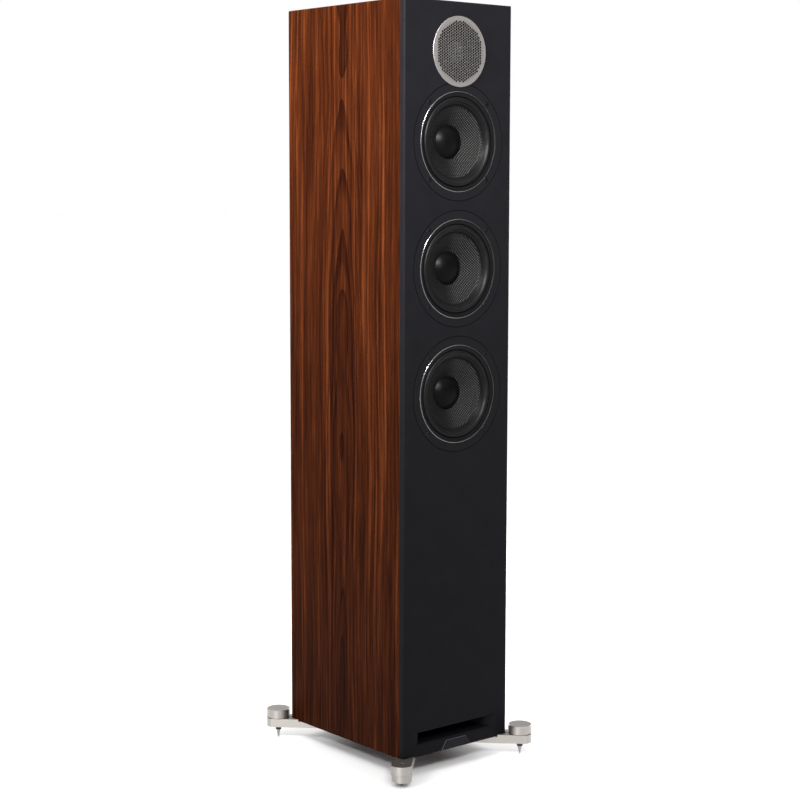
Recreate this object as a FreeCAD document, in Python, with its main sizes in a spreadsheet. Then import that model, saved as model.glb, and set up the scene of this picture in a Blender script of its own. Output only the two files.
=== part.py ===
import FreeCAD, Part
import math
import os
import re
import Sketcher

# A slim three-way floorstanding loudspeaker. +Z is up, the drivers face -Y, and the origin
# is on the floor under the middle of the cabinet. All lengths are in millimetres.

# Driving dimensions: alias, value, what it is.
SIZES = [
    ("cabinet_width", 180.0, "outside width of the wrapped cabinet"),
    ("cabinet_depth", 240.0, "front of the baffle to the back"),
    ("cabinet_height", 965.0, "underside to top of the cabinet"),
    ("floor_gap", 26.0, "floor to the underside of the cabinet"),
    ("wall", 12.0, "thickness of the cabinet panels"),
    ("edge_round", 2.0, "rounding of the outside edges"),
    ("baffle_lip", 8.0, "part of the baffle that stands in front of the panels"),
    ("baffle_thick", 22.0, "whole thickness of the baffle"),
    ("baffle_gap", 0.1, "gap between the rebated baffle and the panels"),
    ("tweeter_level", 902.8, "tweeter centre above the underside"),
    ("midrange_level", 790.0, "midrange centre above the underside"),
    ("upper_woofer_level", 629.15, "upper woofer centre above the underside"),
    ("lower_woofer_level", 468.3, "lower woofer centre above the underside"),
    ("brace_level", 703.5, "underside of the window brace above the underside"),
    ("brace_rail", 25.0, "width of the brace along the panels"),
    ("brace_bar", 8.0, "half the width of the bar between its openings"),
    ("brace_corner", 10.0, "rounding of its openings"),
    ("over", 1.0, "how far a cutting shape reaches past what it cuts"),
    ("part_gap", 0.1, "gap between parts that lie against each other"),
    # One driver chassis, used three times.
    ("flange_radius", 74.7, "outside of the basket flange"),
    ("flange_thick", 6.0, "thickness of the basket flange"),
    ("flange_seat", 75.0, "recess for the flange in the baffle"),
    ("driver_hole", 62.0, "through hole for the basket"),
    ("trim_outer", 63.4, "outside of the trim ring"),
    ("bead_inner", 62.0, "inside of the ring's polished bead"),
    ("bead_curve", 0.72, "radius of the bead's section"),
    ("bead_level", 0.25, "depth of the bead's two edges"),
    ("trim_depth", 1.2, "depth of the ring's flat beside the bead"),
    ("trim_fall", 0.8, "fall of the flat toward the middle"),
    ("trim_inner", 57.6, "inside of the trim ring"),
    ("ledge_depth", 4.5, "depth of the surround's ledge in the basket"),
    ("roll_centre", 53.3, "radius at the crest of the rubber roll"),
    ("roll_radius", 3.3, "radius of the roll's section"),
    ("rubber", 0.8, "thickness of the rubber surround"),
    ("roll_ease", 0.02, "excess of the roll's inner radius over half its width"),
    ("cone_edge", 48.9, "outside of the cone"),
    ("lap", 0.9, "width of the rubber glued over the edge of the cone"),
    ("cone_body", 43.5, "where the smooth rim meets the woven cone"),
    ("cone_curve", 66.0, "radius of the cone's flared section"),
    ("cap_radius", 21.5, "radius of the dust cap"),
    ("cap_curve", 32.2, "radius of the dust cap's dome"),
    ("cap_thick", 0.8, "thickness of the dust cap"),
    ("cap_lift", 0.3, "gap between the rim of the dust cap and the cone"),
    ("cap_depth", 20.5, "depth of the cone at the dust cap"),
    ("body_depth", 9.0, "depth of the cone where its woven part starts"),
    ("edge_depth", 4.7, "depth of the cone's outside edge"),
    ("neck_depth", 25.5, "depth of the cone's neck"),
    ("cone_neck", 13.4, "inside radius of the cone at the coil former"),
    ("cone_thick", 1.2, "thickness of the cone along its axis"),
    ("coil_inner", 12.75, "inside radius of the coil former"),
    ("coil_outer", 13.25, "outside radius of the coil former"),
    ("winding_outer", 13.85, "outside radius of the copper winding"),
    ("neck_lip", 0.5, "how far the former stands in the neck of the cone"),
    ("coil_reach", 9.0, "depth of the coil behind the front of the motor"),
    ("coil_rise", 1.0, "how far the winding and the pole stand in front of the motor"),
    ("coil_gap", 0.65, "radial gap outside the winding"),
    ("pole_radius", 12.3, "radius of the pole piece"),
    ("plate_radius", 43.0, "radius of the motor's steel plates"),
    ("basket_depth", 45.0, "front of the flange to the back of the basket"),
    ("motor_depth", 72.0, "front of the flange to the back of the motor"),
    ("basket_back", 3.0, "thickness of the back of the basket"),
    ("basket_centre", 22.0, "radius of the hole in the back of the basket"),
    ("basket_wall", 4.0, "thickness of the basket at the spider"),
    ("rim_deep", 3.0, "height of the rim behind the flange"),
    ("hole_gap", 1.0, "gap between a chassis and its hole in the baffle"),
    ("window_narrow", 13.0, "half the width of a basket window at the spider"),
    ("window_wide", 16.0, "half the width of a basket window at the rim"),
    ("window_inset", 2.5, "from a basket window to the spider and to the rim"),
    ("spider_level", 34.0, "depth of the spider's ledge"),
    ("spider_outer", 46.0, "outside of the spider"),
    ("spider_seat", 40.0, "inside of the spider's ledge"),
    ("spider_wave", 1.2, "height of the spider's corrugations"),
    ("spider_thick", 0.7, "thickness of the spider"),
    ("spider_collar", 2.5, "width of the spider's flat at the coil"),
    ("seat_gap", 0.5, "gap between a part and the shoulder of its seat"),
    ("magnet_inner", 20.0, "inside radius of the magnet"),
    ("magnet_inset", 2.0, "how far the magnet lies inside the steel plates"),
    ("plate_thick", 6.0, "thickness of the motor's steel plates"),
    ("screw_circle", 68.2, "radius of the circle of the flange screws"),
    # The one screw size used in the flanges, the terminal plate and the feet.
    ("screw_head", 3.5, "radius of the screw head"),
    ("screw_head_tall", 4.0, "height of the screw head"),
    ("screw_shank", 2.0, "radius of the screw shank"),
    ("screw_length", 16.0, "length of the screw shank"),
    ("screw_key", 1.75, "corner radius of the hexagon socket"),
    ("sine_60", 0.8660254, "sine of 60 degrees"),
    ("screw_bevel", 0.4, "bevel round the screw head"),
    ("screw_sunk", 0.3, "depth of a sunk screw head under the surface"),
    ("fit", 0.05, "radial clearance of shafts and screws in their holes"),
    # Tweeter.
    ("grille_radius", 44.2, "outside of the perforated plate"),
    ("grille_thick", 1.35, "thickness of the perforated plate"),
    ("grille_round", 0.5, "rounding of the plate's edge"),
    ("mesh_radius", 39.0, "outside of the perforated area"),
    ("mesh_pitch", 3.35, "distance between holes in one column"),
    ("mesh_hole", 1.5, "radius of one hole"),
    ("horn_radius", 36.0, "outside of the tweeter chassis"),
    ("horn_rim", 2.5, "width of the flat round the horn"),
    ("horn_throat", 14.3, "radius of the throat round the dome"),
    ("throat_lip", 1.2, "width of the step at the throat"),
    ("throat_level", 5.5, "depth of that step"),
    ("horn_thick", 4.0, "thickness of the chassis flange"),
    ("horn_depth", 9.5, "depth of the whole chassis"),
    ("horn_curve", 45.0, "radius of the horn's section"),
    ("dome_radius", 13.9, "outside of the dome's soft edge"),
    ("dome_rim", 12.9, "radius where the dome meets its soft edge"),
    ("dome_depth", 8.4, "depth of the dome's soft edge"),
    ("dome_thick", 0.4, "thickness of the dome"),
    ("dome_curve", 21.5, "radius of the dome's curve"),
    ("wire", 0.6, "thickness of the tweeter coil"),
    ("wire_long", 4.9, "length of the tweeter coil"),
    ("gap_outer", 0.4, "magnetic gap outside the dome's rim"),
    ("gap_inner", 1.3, "magnetic gap inside the dome's rim"),
    ("gap_deep", 6.5, "depth of the magnetic gap"),
    ("tweeter_body", 31.0, "radius of the tweeter motor"),
    ("tweeter_deep", 34.0, "front of the chassis to the back of the motor"),
    # Reflex port and plate under it.
    ("port_width", 144.0, "width of the slot at the front"),
    ("port_height", 19.8, "height of the slot at the front"),
    ("port_level", 24.2, "middle of the slot above the underside"),
    ("port_side_flare", 15.0, "radius of the flares at the two ends"),
    ("port_lip_flare", 2.5, "radius of the flares above and below"),
    ("port_length", 150.0, "length of the duct behind the baffle"),
    ("port_wall", 3.0, "wall of the duct"),
    ("badge_top", 34.0, "width of the blank plate at its top"),
    ("badge_bottom", 50.0, "width of the blank plate at its bottom"),
    ("badge_low", 1.2, "lower edge of the blank plate above the underside"),
    ("badge_high", 13.6, "upper edge of the blank plate above the underside"),
    ("badge_thick", 1.0, "how far the blank plate stands out"),
    # Rear terminals.
    ("terminal_level", 150.0, "middle of the terminal plate above the underside"),
    ("terminal_width", 84.0, "width of the terminal plate"),
    ("terminal_tall", 64.0, "height of the terminal plate"),
    ("terminal_thick", 4.0, "thickness of the terminal plate"),
    ("terminal_corner", 8.0, "rounding of its corners"),
    ("terminal_round", 1.0, "rounding of its front edge"),
    ("terminal_margin", 9.0, "from the posts to the edge of the opening behind them"),
    ("terminal_screw_x", 34.0, "sideways offset of its screws"),
    ("terminal_screw_z", 24.0, "upward offset of its screws"),
    ("post_offset", 19.0, "half the distance between the two posts"),
    ("post_radius", 3.5, "radius of a post's threaded stud"),
    ("post_end", 21.0, "how far a post stands out of its plate"),
    ("post_inside", 24.0, "how far a post reaches into the cabinet"),
    ("collar_radius", 7.0, "radius of a post's collar and of its washer"),
    ("collar_tall", 3.0, "height of that collar"),
    ("washer_thick", 1.5, "thickness of a clamping washer"),
    ("washer_gap", 0.3, "play on each side of a washer"),
    ("plug_bore", 2.05, "radius of the socket for a 4 mm plug"),
    ("plug_depth", 14.0, "depth of that socket"),
    ("cap_grip", 7.5, "radius of the insulated cap"),
    ("cap_over", 0.5, "how far the cap covers the end of the post"),
    ("cap_bevel", 1.5, "bevel round the cap's end"),
    ("flute_radius", 1.5, "radius of a grip flute"),
    ("flute_offset", 0.9, "from the cap's surface to the axis of a flute"),
    ("flute_long", 12.5, "length of a flute"),
    # Crossover.
    ("board_half", 50.0, "half the width of the board"),
    ("board_low", 215.0, "lower edge of the board above the underside"),
    ("board_high", 365.0, "upper edge of the board above the underside"),
    ("board_thick", 1.6, "thickness of the board"),
    ("standoff_tall", 4.0, "height of the board's standoffs"),
    ("standoff_radius", 3.0, "radius of a standoff"),
    ("standoff_inset", 6.0, "standoff axis inside the board's edges"),
    ("inductor_radius", 20.0, "outside of a coil"),
    ("inductor_hole", 8.0, "inside of a coil"),
    ("inductor_tall", 18.0, "height of a coil"),
    ("capacitor_radius", 9.0, "radius of a capacitor"),
    ("capacitor_long", 40.0, "length of a capacitor"),
    ("resistor_thick", 9.0, "thickness of a resistor"),
    ("resistor_long", 26.0, "length of a resistor"),
    # Feet.
    ("foot_offset", 13.5, "spike axis outside the cabinet corner, along X and along Y"),
    ("diagonal", 0.70710678, "cosine of 45 degrees"),
    ("arm_half", 12.9, "half the width of a foot arm"),
    ("arm_end", 15.8, "radius of the arm's outer end and of a high knob"),
    ("arm_thick", 11.5, "thickness of a foot arm"),
    ("arm_rise", 3.0, "how far the arm stands above the cabinet's underside"),
    ("arm_inner", 70.0, "length of the arm from the spike to its inner end"),
    ("notch_gap", 2.4, "gap between the cabinet's corner and the notch round it"),
    ("notch_reach", 20.0, "sideways reach of the notch"),
    ("knob_tall", 12.0, "height of a high levelling knob"),
    ("low_knob_tall", 10.4, "height of the low levelling knob"),
    ("knob_roof", 2.6, "solid top of a high knob over its bore"),
    ("knob_gap", 0.4, "gap between knob and arm"),
    ("knob_chamfer", 0.6, "chamfer round the knobs"),
    ("thread_radius", 3.0, "radius of the spike's threaded rod"),
    ("nut_radius", 4.0, "radius of the black lock nut"),
    ("nut_tall", 6.0, "height of the lock nut"),
    ("low_collar", 2.0, "height of the collar under the low knob"),
    ("cone_tall", 11.0, "height of a spike's cone under a high knob"),
    ("tip_radius", 0.6, "radius of the blunt tip"),
    ("bolt_near", 40.0, "spike axis to the first screw of the arm"),
    ("bolt_far", 58.0, "spike axis to the second screw of the arm"),
]

FRONT = FreeCAD.Rotation(FreeCAD.Vector(1, 0, 0), 90)
BACK = FreeCAD.Rotation(FreeCAD.Vector(1, 0, 0), -90)
UPSIDE_DOWN = FreeCAD.Rotation(FreeCAD.Vector(1, 0, 0), 180)
UPRIGHT = FreeCAD.Rotation()

FEET = {
    "front_left": (-1, -1, 225),
    "front_right": (1, -1, 315),
    "rear_right": (1, 1, 45),
    "rear_left": (-1, 1, 135),
}
LOW_KNOB_FEET = ["front_left"]
DRIVERS = ["midrange", "upper_woofer", "lower_woofer"]
SPIDER_FOLDS = 9
BASKET_WINDOWS = 6
CAP_FLUTES = 14
# Positions on the crossover board: across, and above the underside of the cabinet.
INDUCTORS = ((-26, 245), (26, 268))
CAPACITORS = ((-36, 285), (-14, 285), (36, 305), (14, 305))
RESISTORS = ((-40, 335), (-40, 350))

doc = FreeCAD.newDocument("Floorstander")
sheet = doc.addObject("Spreadsheet::Sheet", "Sizes")
nodes = []


# ---------------------------------------------------------------- helpers

def fill_sheet():
    """Writes the driving dimensions into the sheet, one row each."""
    for row, (alias, number, note) in enumerate(SIZES, start=1):
        sheet.set("A%d" % row, note)
        sheet.set("B%d" % row, str(number))
        sheet.setAlias("B%d" % row, alias)
    doc.recompute()


def bound(formula):
    """Turns the words of a formula into references to the sheet."""
    return re.sub(r"(?!sqrt\b)\b[a-z]\w*", r"Sizes.\g<0>", formula)


def number(formula):
    """The present value of a formula."""
    return float(sheet.evalExpression(bound(formula)))


def place(item, x="0", y="0", z="0", rotation=UPRIGHT):
    """Places an object, with its position bound to the sheet."""
    item.Placement = FreeCAD.Placement(FreeCAD.Vector(), rotation)
    for axis, formula in zip("xyz", (x, y, z)):
        item.setExpression("Placement.Base." + axis, bound(formula))
    return item


def node(item, label):
    """Names a finished sub-part and lists it for export."""
    item.Label = label
    nodes.append(item)
    return item


def new_body(name):
    return doc.addObject("PartDesign::Body", name.title().replace("_", ""))


def new_sketch(body, role, level="0"):
    """A sketch on one of the body's own planes, moved along the plane's normal."""
    sketch = body.newObject("Sketcher::SketchObject", "Outline")
    plane = [item for item in body.Origin.OriginFeatures if item.Role == role][0]
    sketch.AttachmentSupport = [(plane, "")]
    sketch.MapMode = "FlatFace"
    sketch.setExpression("AttachmentOffset.Base.z", bound(level))
    return sketch


def pin(sketch, geometry, spot, x, y):
    """Holds one point of the sketch at two formulas."""
    for kind, formula in (("DistanceX", x), ("DistanceY", y)):
        rule = Sketcher.Constraint(kind, -1, 1, geometry, spot, number(formula))
        sketch.setExpression("Constraints[%d]" % sketch.addConstraint(rule), bound(formula))


def add_circle(sketch, x, y, radius):
    centre = FreeCAD.Vector(number(x), number(y), 0)
    up = FreeCAD.Vector(0, 0, 1)
    index = sketch.addGeometry(Part.Circle(centre, up, number(radius)), False)
    rule = Sketcher.Constraint("Radius", index, number(radius))
    sketch.setExpression("Constraints[%d]" % sketch.addConstraint(rule), bound(radius))
    pin(sketch, index, 3, x, y)


def arc_between(start, end, radius, turn):
    """The shorter arc from start to end; turn 1 is counter-clockwise, -1 clockwise."""
    chord = end - start
    half = chord.Length / 2
    inward = FreeCAD.Vector(-chord.y, chord.x, 0) * (turn / chord.Length)
    centre = start + chord / 2 + inward * math.sqrt(max(radius ** 2 - half ** 2, 0))
    angles = [math.atan2(point.y - centre.y, point.x - centre.x) for point in (start, end)]
    if turn < 0:
        angles.reverse()
    circle = Part.Circle(centre, FreeCAD.Vector(0, 0, 1), radius)
    return Part.ArcOfCircle(circle, angles[0], angles[1])


def add_outline(sketch, points):
    """Draws a closed outline. A point is (x, y) after a line, or (x, y, radius, turn) after an arc."""
    places = [FreeCAD.Vector(number(point[0]), number(point[1]), 0) for point in points]
    ends = []
    for index, point in enumerate(points):
        start = places[index - 1]
        end = places[index]
        if len(point) == 2:
            made = sketch.addGeometry(Part.LineSegment(start, end), False)
            ends.append((made, 1, 2))
        else:
            radius, turn = point[2], point[3]
            made = sketch.addGeometry(arc_between(start, end, number(radius), turn), False)
            rule = Sketcher.Constraint("Radius", made, number(radius))
            sketch.setExpression("Constraints[%d]" % sketch.addConstraint(rule), bound(radius))
            ends.append((made, 1, 2) if turn > 0 else (made, 2, 1))
    for index, point in enumerate(points):
        this, following = ends[index], ends[(index + 1) % len(ends)]
        sketch.addConstraint(Sketcher.Constraint("Coincident", this[0], this[2], following[0], following[1]))
        pin(sketch, this[0], this[2], point[0], point[1])


def box_points(x_low, x_high, y_low, y_high):
    return [(x_low, y_low), (x_high, y_low), (x_high, y_high), (x_low, y_high)]


def pad(body, sketch, length, backwards=False):
    feature = body.newObject("PartDesign::Pad", "Pad")
    feature.Profile = sketch
    feature.Reversed = backwards
    feature.setExpression("Length", bound(length))
    doc.recompute()
    return feature


def pocket(body, sketch, length, backwards=False):
    """Cuts a pocket and makes sure that it removed something."""
    before = body.Shape.Volume
    feature = body.newObject("PartDesign::Pocket", "Pocket")
    feature.Profile = sketch
    feature.Reversed = backwards
    feature.setExpression("Length", bound(length))
    doc.recompute()
    if body.Shape.Volume >= before - 0.01:
        raise RuntimeError("the pocket of %s cuts nothing" % body.Name)
    return feature


def repeat_round(body, feature, axis_sketch, count):
    pattern = body.newObject("PartDesign::PolarPattern", "Pattern")
    pattern.Originals = [feature]
    pattern.Axis = (axis_sketch, ["N_Axis"])
    pattern.Angle = 360
    pattern.Occurrences = count
    body.Tip = pattern
    doc.recompute()
    return pattern


def dress(body, kind, size, wanted):
    """Fillets or chamfers the edges of the body's last feature that wanted(edge) accepts."""
    base = body.Tip
    chosen = [
        "Edge%d" % (index + 1)
        for index, edge in enumerate(base.Shape.Edges)
        if wanted(edge)
    ]
    feature = body.newObject("PartDesign::" + kind, kind)
    feature.Base = (base, chosen)
    feature.setExpression("Radius" if kind == "Fillet" else "Size", bound(size))
    doc.recompute()
    return feature


def turned(name, points):
    """A body turned round the Z axis from an outline of (radius, height) points."""
    body = new_body(name)
    sketch = new_sketch(body, "XZ_Plane")
    add_outline(sketch, points)
    feature = body.newObject("PartDesign::Revolution", "Turning")
    feature.Profile = sketch
    feature.ReferenceAxis = (sketch, ["V_Axis"])
    feature.Angle = 360
    doc.recompute()
    return body


def padded(name, role, points, length, level="0", backwards=False):
    """A body padded from one outline."""
    body = new_body(name)
    sketch = new_sketch(body, role, level)
    add_outline(sketch, points)
    pad(body, sketch, length, backwards)
    return body


def cut(name, base, tool):
    result = doc.addObject("Part::Cut", name)
    result.Base = base
    result.Tool = tool
    doc.recompute()
    return result


def group(label, prototype, placements):
    """A node of identical, separate solids: one copy of the prototype at each placement."""
    shape = prototype.Shape.copy()
    shape.Placement = FreeCAD.Placement()
    copies = []
    for spot in placements:
        copy = shape.copy()
        copy.Placement = spot
        copies.append(copy)
    item = doc.addObject("Part::Feature", label.title().replace("_", ""))
    item.Shape = Part.makeCompound(copies)
    return node(item, label)


def is_level(edge, height):
    """True for an edge that lies at one height."""
    box = edge.BoundBox
    return abs(box.ZMin - height) < 0.01 and abs(box.ZMax - height) < 0.01


# ---------------------------------------------------------------- cabinet

def make_wrap():
    """The four mitred panels that wrap the cabinet, profiled in the XZ plane."""
    half = "cabinet_width / 2"
    top = "cabinet_height"
    # Mitre tips lie halfway round the rounded outside edge.
    tip = "edge_round * (1 - diagonal)"
    length = "cabinet_depth - baffle_lip"
    start = "cabinet_depth / 2"

    def mirrored(points, flip_x, flip_z):
        """Mirrors an outline across the cabinet's middle planes; an odd flip swaps its turns."""
        odd = flip_x != flip_z
        result = []
        for point in points:
            x = "-(%s)" % point[0] if flip_x else point[0]
            z = "%s - (%s)" % (top, point[1]) if flip_z else point[1]
            if len(point) == 2:
                result.append((x, z))
            else:
                result.append((x, z, point[2], -point[3] if odd else point[3]))
        return result

    side = [
        (half, "%s - edge_round" % top),
        ("%s - %s" % (half, tip), "%s - %s" % (top, tip), "edge_round", 1),
        ("%s - wall" % half, "%s - wall" % top),
        ("%s - wall" % half, "wall"),
        ("%s - %s" % (half, tip), tip),
        (half, "edge_round", "edge_round", 1),
    ]
    cover = [
        ("%s - %s" % (half, tip), "%s - %s" % (top, tip)),
        ("%s - edge_round" % half, top, "edge_round", 1),
        ("-(%s) + edge_round" % half, top),
        ("-(%s) + %s" % (half, tip), "%s - %s" % (top, tip), "edge_round", 1),
        ("-(%s) + wall" % half, "%s - wall" % top),
        ("%s - wall" % half, "%s - wall" % top),
    ]
    outlines = {
        "side_panel_right": side,
        "side_panel_left": mirrored(side, True, False),
        "top_panel": cover,
        "bottom_panel": mirrored(cover, False, True),
    }
    bodies = {}
    for name, outline in outlines.items():
        body = padded(name, "XZ_Plane", outline, length, "-(%s)" % start)
        place(body, z="floor_gap")
        bodies[name] = node(body, name)
    return bodies


def drill_bottom(body):
    """Pilot holes for the screws of the four foot arms."""
    sketch = new_sketch(body, "XY_Plane")
    for side_x, side_y, _ in FEET.values():
        for distance in ("bolt_near", "bolt_far"):
            inward = "(foot_offset - %s * diagonal)" % distance
            add_circle(
                sketch,
                "%d * (cabinet_width / 2 + %s)" % (side_x, inward),
                "%d * (cabinet_depth / 2 + %s)" % (side_y, inward),
                "screw_shank + fit",
            )
    pocket(body, sketch, "wall", backwards=True)


def make_back():
    """The back panel between the wrap panels, with an opening behind the terminals."""
    half = "cabinet_width / 2 - wall"
    body = padded(
        "back_panel", "XZ_Plane",
        box_points("-(%s)" % half, half, "wall", "cabinet_height - wall"),
        "wall", "-cabinet_depth / 2",
    )
    opening = new_sketch(body, "XZ_Plane", "-cabinet_depth / 2")
    add_outline(opening, box_points(
        "-post_offset - terminal_margin", "post_offset + terminal_margin",
        "terminal_level - terminal_margin", "terminal_level + terminal_margin",
    ))
    for side_x in (-1, 1):
        for side_z in (-1, 1):
            add_circle(
                opening,
                "%d * terminal_screw_x" % side_x,
                "terminal_level + %d * terminal_screw_z" % side_z,
                "screw_shank + fit",
            )
    pocket(body, opening, "wall", backwards=True)
    place(body, z="floor_gap")
    return node(body, "back_panel")


def port_passage():
    """The air space of the slot port through the baffle, flared at its mouth on all four sides."""
    face = "-cabinet_depth / 2"
    half = "port_width / 2"
    end = "%s + baffle_thick + over" % face
    throat = "(%s - port_side_flare)" % half
    plan = padded("port_plan", "XY_Plane", [
        ("-(%s)" % half, "%s - over" % face),
        (half, "%s - over" % face),
        (half, face),
        (throat, "%s + port_side_flare" % face, "port_side_flare", -1),
        (throat, end),
        ("-" + throat, end),
        ("-" + throat, "%s + port_side_flare" % face),
        ("-(%s)" % half, face, "port_side_flare", -1),
    ], "port_height + 2 * over", "port_level - port_height / 2 - over")
    low = "port_level - port_height / 2"
    high = "port_level + port_height / 2"
    section = padded("port_section", "YZ_Plane", [
        ("%s - over" % face, low),
        (face, low),
        ("%s + port_lip_flare" % face, "%s + port_lip_flare" % low, "port_lip_flare", -1),
        (end, "%s + port_lip_flare" % low),
        (end, "%s - port_lip_flare" % high),
        ("%s + port_lip_flare" % face, "%s - port_lip_flare" % high),
        (face, high, "port_lip_flare", -1),
        ("%s - over" % face, high),
    ], "port_width", "-port_width / 2")
    passage = doc.addObject("Part::Common", "PortPassage")
    passage.Base = plan
    passage.Tool = section
    doc.recompute()
    return passage


def make_baffle():
    """The rebated front baffle with seats and holes for the drivers and the slot port."""
    face = "-cabinet_depth / 2"
    half = "cabinet_width / 2"
    body = padded(
        "baffle_blank", "XZ_Plane",
        box_points("-" + half, half, "0", "cabinet_height"),
        "baffle_lip", "-(%s)" % face, backwards=True,
    )

    def on_front(edge):
        box = edge.BoundBox
        return box.YLength < 0.01 and abs(box.YMin - number(face)) < 0.01

    dress(body, "Fillet", "edge_round", on_front)
    rebate = new_sketch(body, "XZ_Plane", "-(%s) - baffle_lip" % face)
    inner = "(%s - wall - baffle_gap)" % half
    add_outline(rebate, box_points(
        "-" + inner, inner, "wall + baffle_gap", "cabinet_height - wall - baffle_gap"))
    pad(body, rebate, "baffle_thick - baffle_lip", backwards=True)

    seats = new_sketch(body, "XZ_Plane", "-(%s)" % face)
    holes = new_sketch(body, "XZ_Plane", "-(%s)" % face)
    for name in DRIVERS:
        level = name + "_level"
        add_circle(seats, "0", level, "flange_seat")
        add_circle(holes, "0", level, "driver_hole")
        for side_x in (-1, 1):
            for side_z in (-1, 1):
                add_circle(
                    holes,
                    "%d * screw_circle * diagonal" % side_x,
                    "%s + %d * screw_circle * diagonal" % (level, side_z),
                    "screw_shank + fit",
                )
    add_circle(holes, "0", "tweeter_level", "tweeter_body + hole_gap")
    pocket(body, seats, "flange_thick")
    pocket(body, holes, "baffle_thick")
    tweeter_seat = new_sketch(body, "XZ_Plane", "-(%s)" % face)
    add_circle(tweeter_seat, "0", "tweeter_level", "horn_radius + 3 * part_gap")
    pocket(body, tweeter_seat, "horn_thick")
    baffle = cut("Baffle", body, port_passage())
    place(baffle, z="floor_gap")
    return node(baffle, "front_baffle")


def make_port_duct():
    """The straight moulded duct that carries the slot port into the cabinet."""
    start = "-(-cabinet_depth / 2 + baffle_thick)"
    half = "(port_width / 2 - port_side_flare)"
    rise = "(port_height / 2 - port_lip_flare)"
    body = padded("port_duct", "XZ_Plane", box_points(
        "-%s - port_wall" % half, "%s + port_wall" % half,
        "port_level - %s - port_wall" % rise, "port_level + %s + port_wall" % rise,
    ), "port_length", start, backwards=True)
    inside = new_sketch(body, "XZ_Plane", start)
    add_outline(inside, box_points(
        "-" + half, half, "port_level - " + rise, "port_level + " + rise))
    pocket(body, inside, "port_length")
    place(body, z="floor_gap")
    return node(body, "port_duct")


def make_badge():
    """A blank trapezoid plate under the port."""
    body = padded("badge_plate", "XZ_Plane", [
        ("-badge_bottom / 2", "badge_low"),
        ("badge_bottom / 2", "badge_low"),
        ("badge_top / 2", "badge_high"),
        ("-badge_top / 2", "badge_high"),
    ], "badge_thick", "cabinet_depth / 2")
    front = number("-cabinet_depth / 2 - badge_thick")
    dress(body, "Chamfer", "badge_thick / 3", lambda edge: abs(edge.BoundBox.YMax - front) < 0.01)
    place(body, z="floor_gap")
    return node(body, "badge_plate")


def make_brace():
    """A window brace between the panels, level with the gap between two drivers."""
    half = "(cabinet_width / 2 - wall)"
    front = "(-cabinet_depth / 2 + baffle_thick)"
    back = "(cabinet_depth / 2 - wall)"
    body = padded(
        "window_brace", "XY_Plane", box_points("-" + half, half, front, back), "wall", "brace_level")
    window = new_sketch(body, "XY_Plane", "brace_level + wall")
    for low, high in ((front + " + brace_rail", "-brace_bar"), ("brace_bar", back + " - brace_rail")):
        add_outline(window, box_points("-%s + brace_rail" % half, half + " - brace_rail", low, high))
    pocket(body, window, "wall")
    corner = number(half + " - brace_rail")
    dress(body, "Fillet", "brace_corner", lambda edge: (
        edge.BoundBox.ZLength > 1 and abs(abs(edge.BoundBox.XMin) - corner) < 0.01))
    place(body, z="floor_gap")
    return node(body, "window_brace")


# ---------------------------------------------------------------- drivers

def make_basket():
    """Cast basket: flange, ledges and six windows between its legs."""
    body = turned("basket", [
        ("flange_radius", "0"),
        ("trim_outer + 2 * part_gap", "0"),
        ("trim_outer + 2 * part_gap", "-ledge_depth"),
        ("trim_inner", "-ledge_depth"),
        ("trim_inner", "-flange_thick - rim_deep"),
        ("spider_outer + seat_gap", "-spider_level"),
        ("spider_seat", "-spider_level"),
        ("spider_seat", "-basket_depth + basket_back"),
        ("basket_centre", "-basket_depth + basket_back"),
        ("basket_centre", "-basket_depth"),
        ("plate_radius", "-basket_depth"),
        ("spider_outer + basket_wall", "-spider_level - basket_back"),
        ("driver_hole - hole_gap", "-flange_thick - rim_deep"),
        ("driver_hole - hole_gap", "-flange_thick"),
        ("flange_radius", "-flange_thick"),
    ])
    window = new_sketch(body, "XY_Plane")
    add_outline(window, [
        ("spider_outer + window_inset", "-window_narrow"),
        ("trim_inner - window_inset", "-window_wide"),
        ("trim_inner - window_inset", "window_wide"),
        ("spider_outer + window_inset", "window_narrow"),
    ])
    opening = pocket(body, window, "basket_depth")
    repeat_round(body, opening, window, BASKET_WINDOWS)
    holes = new_sketch(body, "XY_Plane")
    seats = new_sketch(body, "XY_Plane")
    for side_x in (-1, 1):
        for side_y in (-1, 1):
            spot = ("%d * screw_circle * diagonal" % side_x, "%d * screw_circle * diagonal" % side_y)
            add_circle(holes, spot[0], spot[1], "screw_shank + fit")
            add_circle(seats, spot[0], spot[1], "screw_head + part_gap")
    pocket(body, holes, "flange_thick")
    pocket(body, seats, "screw_head_tall + screw_sunk")
    return body


def make_trim_ring():
    """Ring over the surround's edge, with a polished bead round its outside."""
    seat = "-ledge_depth + rubber + 2 * part_gap"
    return turned("trim_ring", [
        ("trim_outer", seat),
        ("trim_outer", "-bead_level"),
        ("bead_inner", "-bead_level", "bead_curve", 1),
        ("bead_inner", "-trim_depth"),
        ("trim_inner", "-trim_depth - trim_fall"),
        ("trim_inner", seat),
    ])


def make_surround():
    """Rubber half-roll surround."""
    low = "(-ledge_depth + part_gap)"
    high = "(-ledge_depth + part_gap + rubber)"
    reach = "sqrt(roll_radius * roll_radius - rubber * rubber)"
    inner_roll = "(roll_radius - rubber)"
    return turned("surround", [
        ("trim_outer - 2 * part_gap", low),
        ("trim_outer - 2 * part_gap", high),
        ("roll_centre + " + reach, high),
        ("roll_centre - " + reach, high, "roll_radius", 1),
        ("cone_edge - lap", high),
        ("cone_edge - lap", low),
        ("roll_centre - " + inner_roll, low),
        ("roll_centre + " + inner_roll, low, inner_roll + " + roll_ease", -1),
    ])


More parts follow.
